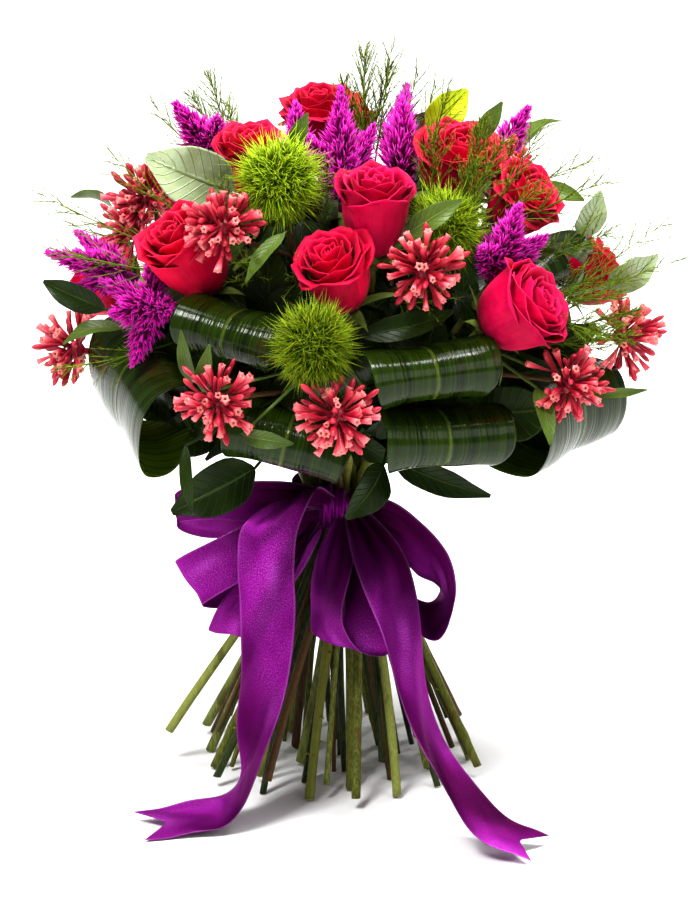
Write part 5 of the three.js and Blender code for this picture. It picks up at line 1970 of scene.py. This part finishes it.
@dataclass(frozen=True)
class Binding:
    """The satin band round the waist and the gathered knot in front of it."""

    knot: tuple[float, float, float] = (-3.0, -42.0, 190.0)

    def build(self) -> None:
        """Builds the band as a strip wound once and a little more round the waist, and the knot."""
        v = edged(100, 0.002)
        u = edged(12, 0.015) * 2 - 1
        turn = BAND_TURN * v[:, None] - np.radians(75)
        radius = TIE_RADIUS + 3.6 + 1.0 * v[:, None] + 0.35 * np.sin(6 * u[None] + 3 * np.sin(2 * turn))
        rise = TIE_HEIGHT + WAIST_LENGTH / 2 * u[None] + 0.8 * np.sin(turn)
        front = about_z(turn, radius, rise)
        run = (TIE_RADIUS + 4) * BAND_TURN * v
        uv = stacked(RIBBON_WIDTH / 2 * u[None], run[:, None])
        band = Surface()
        # Tone 0.7 paints the band in shade, toward the reverse's colours.
        band.sheets(front[None, :, ::-1], RIBBON_THICKNESS, uv[:, ::-1], 0.7)
        piece = band.write("ribbon_band", dressed(SatinFinish()), Slot.SATIN, "ribbon_band")
        Strip.area(front)
        self.build_knot()

    def build_knot(self) -> None:
        """Builds the knot: a rounded wrap with pleats that run over it from top to bottom."""
        s = np.linspace(-0.97, 0.97, 30)
        a = circle(28)
        girth = (1 - s**4) ** 0.5 * (1 + 0.11 * np.sin(17 * s)) + 0.04
        dent = 1 + 0.05 * np.sin(3 * a[None] + 9 * s[:, None])
        y = -8.0 * girth[:, None] * dent * np.cos(a)
        z = 12.5 * girth[:, None] * dent * np.sin(a) * (1 - 0.25 * s[:, None])
        x = np.broadcast_to(11.5 * s[:, None], y.shape)
        rings = np.stack([x, y, z], axis=-1)[::-1] + np.array(self.knot)
        ends = np.array([[11.4, 0, 0], [-11.4, 0, 0]]) + np.array(self.knot)
        knot = Surface()
        # Tone 0.6 paints the knot in shade, toward the reverse's colours.
        knot.rounds(rings[None], ends[None], np.linspace(0, 24, 32), 0.6)
        knot.write("ribbon_knot", dressed(SatinFinish()), Slot.SATIN)


# ---- the studio ----

IMAGE_HEIGHT = 919
FOCAL_PIXELS = 3750
SENSOR = 36.0
VIEW_TARGET = (0.0067, 0.0, 0.2098)
VIEW_DISTANCE = 2.5
VIEW_ELEVATION = 16.0
VIEW_GAMMA = 0.85
WORLD_STRENGTH = 0.35

LIGHTS = (
    StudioLight("key_light", (-0.95, -1.35, 2.5), (0.0, 0.0, 0.3), 0.7, 84.0),
    StudioLight("fill_light", (1.7, -1.8, 1.6), (0.0, 0.0, 0.28), 1.2, 16.0),
    StudioLight("top_light", (1.0, -0.4, 2.5), (0.0, 0.0, 0.3), 0.45, 34.0),
    StudioLight("rim_light", (1.3, 1.7, 1.5), (0.0, 0.0, 0.3), 1.0, 26.0),
    StudioLight("overhead_light", (0.0, 0.05, 3.0), (0.0, 0.0, 0.0), 0.0, 4.1, 38.0),
)


@dataclass
class Studio:
    """The floor, the lights, the white surroundings and the camera."""

    lights: tuple[StudioLight, ...] = field(default=LIGHTS)

    def build(self) -> None:
        """Builds them. The floor is a shallow grid, wide enough to fill the view."""
        self.build_camera()
        side = np.linspace(-8, 8, 9)
        points = stacked(side[:, None], side[None], -0.0002).reshape(-1, 3)
        faces = cells(np.arange(81).reshape(9, 9).T)
        mesh = bpy.data.meshes.new("studio_floor")
        mesh.from_pydata(points.tolist(), [], faces.tolist())
        mesh.materials.append(dressed(FloorFinish()))
        added("studio_floor", mesh)
        for light in self.lights:
            light.build()
        world = bpy.data.worlds.new("studio_white")
        world.use_nodes = True
        background = world.node_tree.nodes["Background"]
        background.inputs["Color"].default_value = (1.0, 1.0, 1.0, 1.0)
        background.inputs["Strength"].default_value = WORLD_STRENGTH
        scene = bpy.context.scene
        scene.world = world
        scene.view_settings.view_transform = "Standard"
        scene.view_settings.gamma = VIEW_GAMMA

    def build_camera(self) -> None:
        """Builds the camera, looking down on the bouquet's middle from the front."""
        data = bpy.data.cameras.new("camera")
        data.sensor_width = SENSOR
        data.lens = SENSOR * FOCAL_PIXELS / IMAGE_HEIGHT
        camera = added("camera", data)
        place = np.array(VIEW_TARGET) + VIEW_DISTANCE * aim(0.0, VIEW_ELEVATION)
        camera.location = [float(x) for x in place]
        camera.rotation_euler = Euler((float(np.radians(90 - VIEW_ELEVATION)), 0.0, 0.0))
        bpy.context.scene.camera = camera


# ---- the bouquet ----
# Each head: its name, the middle of what shows (x, y, z), the way it faces, and its own sizes.

ROSES = (
    Rose("front", 22, -114, 404, 8, 76, 23, 66, 0.05, RoseColour.PINK),
    Rose("centre", -2, -140, 370, -36, 60, 22, 60, 0.25, RoseColour.CRIMSON),
    Rose("right_open", 114, -124, 342, 68, 30, 29, 60, 0.2, RoseColour.PINK),
    Rose("left", -96, -95, 372, -50, 52, 24, 70, 0.08, RoseColour.SCARLET),
    Rose("upper_left", -58, -4, 412, -16, 78, 23, 62, 0.06, RoseColour.SCARLET),
    Rose("top", -14, 42, 434, -10, 78, 22, 52, 0.3, RoseColour.SCARLET),
    Rose("upper_right", 76, -28, 417, 30, 64, 26, 58, 0.2, RoseColour.SCARLET),
    Rose("right_shoulder", 117, -34, 393, 54, 44, 23, 52, 0.3, RoseColour.SCARLET),
    Rose("right_side", 168, 28, 330, 96, 24, 24, 48, 0.3, RoseColour.SCARLET),
    Rose("back_left", -106, 106, 376, -132, 44, 27, 54, 0.5, RoseColour.PINK),
    Rose("back_top", -8, 116, 414, 178, 62, 28, 54, 0.6, RoseColour.CRIMSON),
    Rose("back_right", 92, 112, 388, 140, 46, 27, 54, 0.3, RoseColour.SCARLET),
    Rose("back_low", -38, 164, 336, -166, 24, 30, 50, 0.9, RoseColour.PINK),
    Rose("left_side", -160, 88, 312, -118, 16, 26, 50, 0.6, RoseColour.CRIMSON),
)
DIANTHUS = (
    # The front ball's shade darkens it and the upper left ball's lightens it: painted shade and painted
    # light.
    Dianthus("upper_left", -37, -98, 418, -18, 62, 26, -0.4),
    Dianthus("front", -16, -178, 334, 0, 14, 24, 0.6),
    Dianthus("right", 66, -100, 388, 24, 46, 23),
    Dianthus("back", 48, 160, 350, 164, 34, 25),
    Dianthus("back_left", -112, 136, 300, -142, 12, 25),
)
CELOSIA = (
    Celosia(
        "left", -160, -22, 348, -84, 20,
        ((54, 12, 2, 0, 10), (48, 10.5, 34, 110, 10), (46, 10.5, 36, 240, 10), (40, 10.5, 44, 340, 10)),
    ),
    Celosia(
        "left_front", -134, -92, 338, -52, 12,
        (
            (32, 12, 12, 0, 12), (44, 10.5, 66, 16, 10), (44, 10.5, 70, 96, 10), (40, 10.5, 76, 176, 10),
            (44, 10.5, 66, 256, 10),
        ),
    ),
    Celosia("upper_left", -96, 48, 424, -62, 52, ((46, 13, 0, 0, 10), (36, 11, 44, 120, 10))),
    Celosia("top_left", -27, -30, 422, -18, 84, ((60, 14, 0, 0, 8),)),
    Celosia("top", 2, -54, 420, -4, 84, ((76, 15, 3, 200, 8), (50, 12, 26, 110, 12), (44, 12, 30, 280, 14))),
    Celosia("top_right", 40, -6, 420, 8, 86, ((60, 15, 0, 0, 8),)),
    Celosia("upper_right", 112, 48, 416, 66, 60, ((50, 13, 0, 0, 10), (40, 11, 44, 270, 10))),
    Celosia(
        "right", 104, -100, 378, 32, 62, ((58, 15, 0, 0, 8), (40, 12, 40, 70, 12), (40, 12, 44, 290, 12)),
    ),
    Celosia("back", 40, 100, 414, 160, 60, ((56, 15, 0, 0, 8), (40, 12, 40, 200, 12))),
)
ADDED_LEAVES = (
    RolledLeaf("right_dark", 136, -92, 356, 58, 10, 6, 44, 30, tuck=True, added=True, reach=50),
    RolledLeaf("middle_dark", 8, -138, 306, -6, 0, 30, 60, 40, tuck=True, added=True, reach=60),
)
TRUMPETS = (
    Trumpets("left", -180, -26, 292, -88, 4, 24, 88),
    Trumpets("upper_left", -130, -22, 396, -62, 42, 23, 92),
    Trumpets("inner_left", -74, -130, 400, -24, 36, 22, 92),
    Trumpets("front_left", -76, -176, 296, -14, 6, 23, 100),
    Trumpets("front", -1, -196, 292, 0, 4, 23, 100),
    Trumpets("centre", 54, -158, 378, 16, 34, 23, 100),
    Trumpets("front_right", 148, -128, 294, 46, -4, 24, 90),
    Trumpets("right", 190, -44, 306, 76, 10, 25, 88),
    Trumpets("upper_right", 108, 0, 412, 48, 66, 20, 80),
    Trumpets("back_left", -140, 24, 366, -104, 34, 22, 88),
    Trumpets("back", 4, 186, 302, 180, 6, 23, 92),
)
ROLLED_LEAVES = (
    RolledLeaf("front_right_upper", 62, -168, 310, 20, 6, 2, 88, 38),
    RolledLeaf("front_right_lower", 70, -158, 260, 22, -9, -4, 90, 40),
    RolledLeaf("front_left_upper", -74, -146, 328, -27, 2, -8, 74, 36),
    RolledLeaf("front_left_lower", -36, -152, 256, -12, -12, -14, 84, 40),
    RolledLeaf("left", -146, -78, 268, -68, -6, -20, 96, 78),
    RolledLeaf("right", 160, -72, 252, 54, -10, 6, 88, 62, tuck=True),
    RolledLeaf("right_upper", 161, -24, 354, 78, 20, 4, 50, 34),
    RolledLeaf("top", 66, 36, 440, 60, 74, 0, 38, 28),
    RolledLeaf("back_left", -108, 128, 258, -140, -8, 0, 84, 44),
    RolledLeaf("back", 10, 166, 254, 176, -10, 0, 88, 42),
    RolledLeaf("back_right", 132, 104, 284, 128, -4, 0, 84, 44),
)
FERNS = (
    Fern("top", 16, 12, 402, 4, 84, 82, 8),
    Fern("upper_right", 74, -66, 388, 40, 58, 70, 14),
    Fern("right", 146, -74, 318, 44, 16, 54, -10),
    Fern("back_left", -70, 120, 384, -152, 44, 70, 10),
)


def main() -> None:
    """Builds the studio, the bouquet's pieces and the binding, in order."""
    logging.basicConfig(level=logging.INFO, format="%(name)s: %(message)s", stream=sys.stdout)
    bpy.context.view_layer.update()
    Studio().build()
    for strip in STRIPS:
        strip.build()
    Binding().build()
    heads: list[Head] = [*ROSES, *DIANTHUS, *CELOSIA, *TRUMPETS, *ROLLED_LEAVES, *FERNS]
    for head in [*heads, *ADDED_LEAVES]:
        head.build()
    chance = np.random.default_rng(WISP_SEED)
    wisps = Surface()
    for wisp in WISPS:
        wisp.add_to(wisps, chance)
    wisps.write("fern_wisps", dressed(NEEDLE), Slot.FERN)
    stems = Stems(heads)
    stems.build()
    LeafCover(stems, heads).build()
    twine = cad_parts["binding_twine"]
    twine.data.materials.clear()
    twine.data.materials.append(dressed(TwineFinish()))
    bpy.context.view_layer.update()


if __name__ == "__main__":
    main()
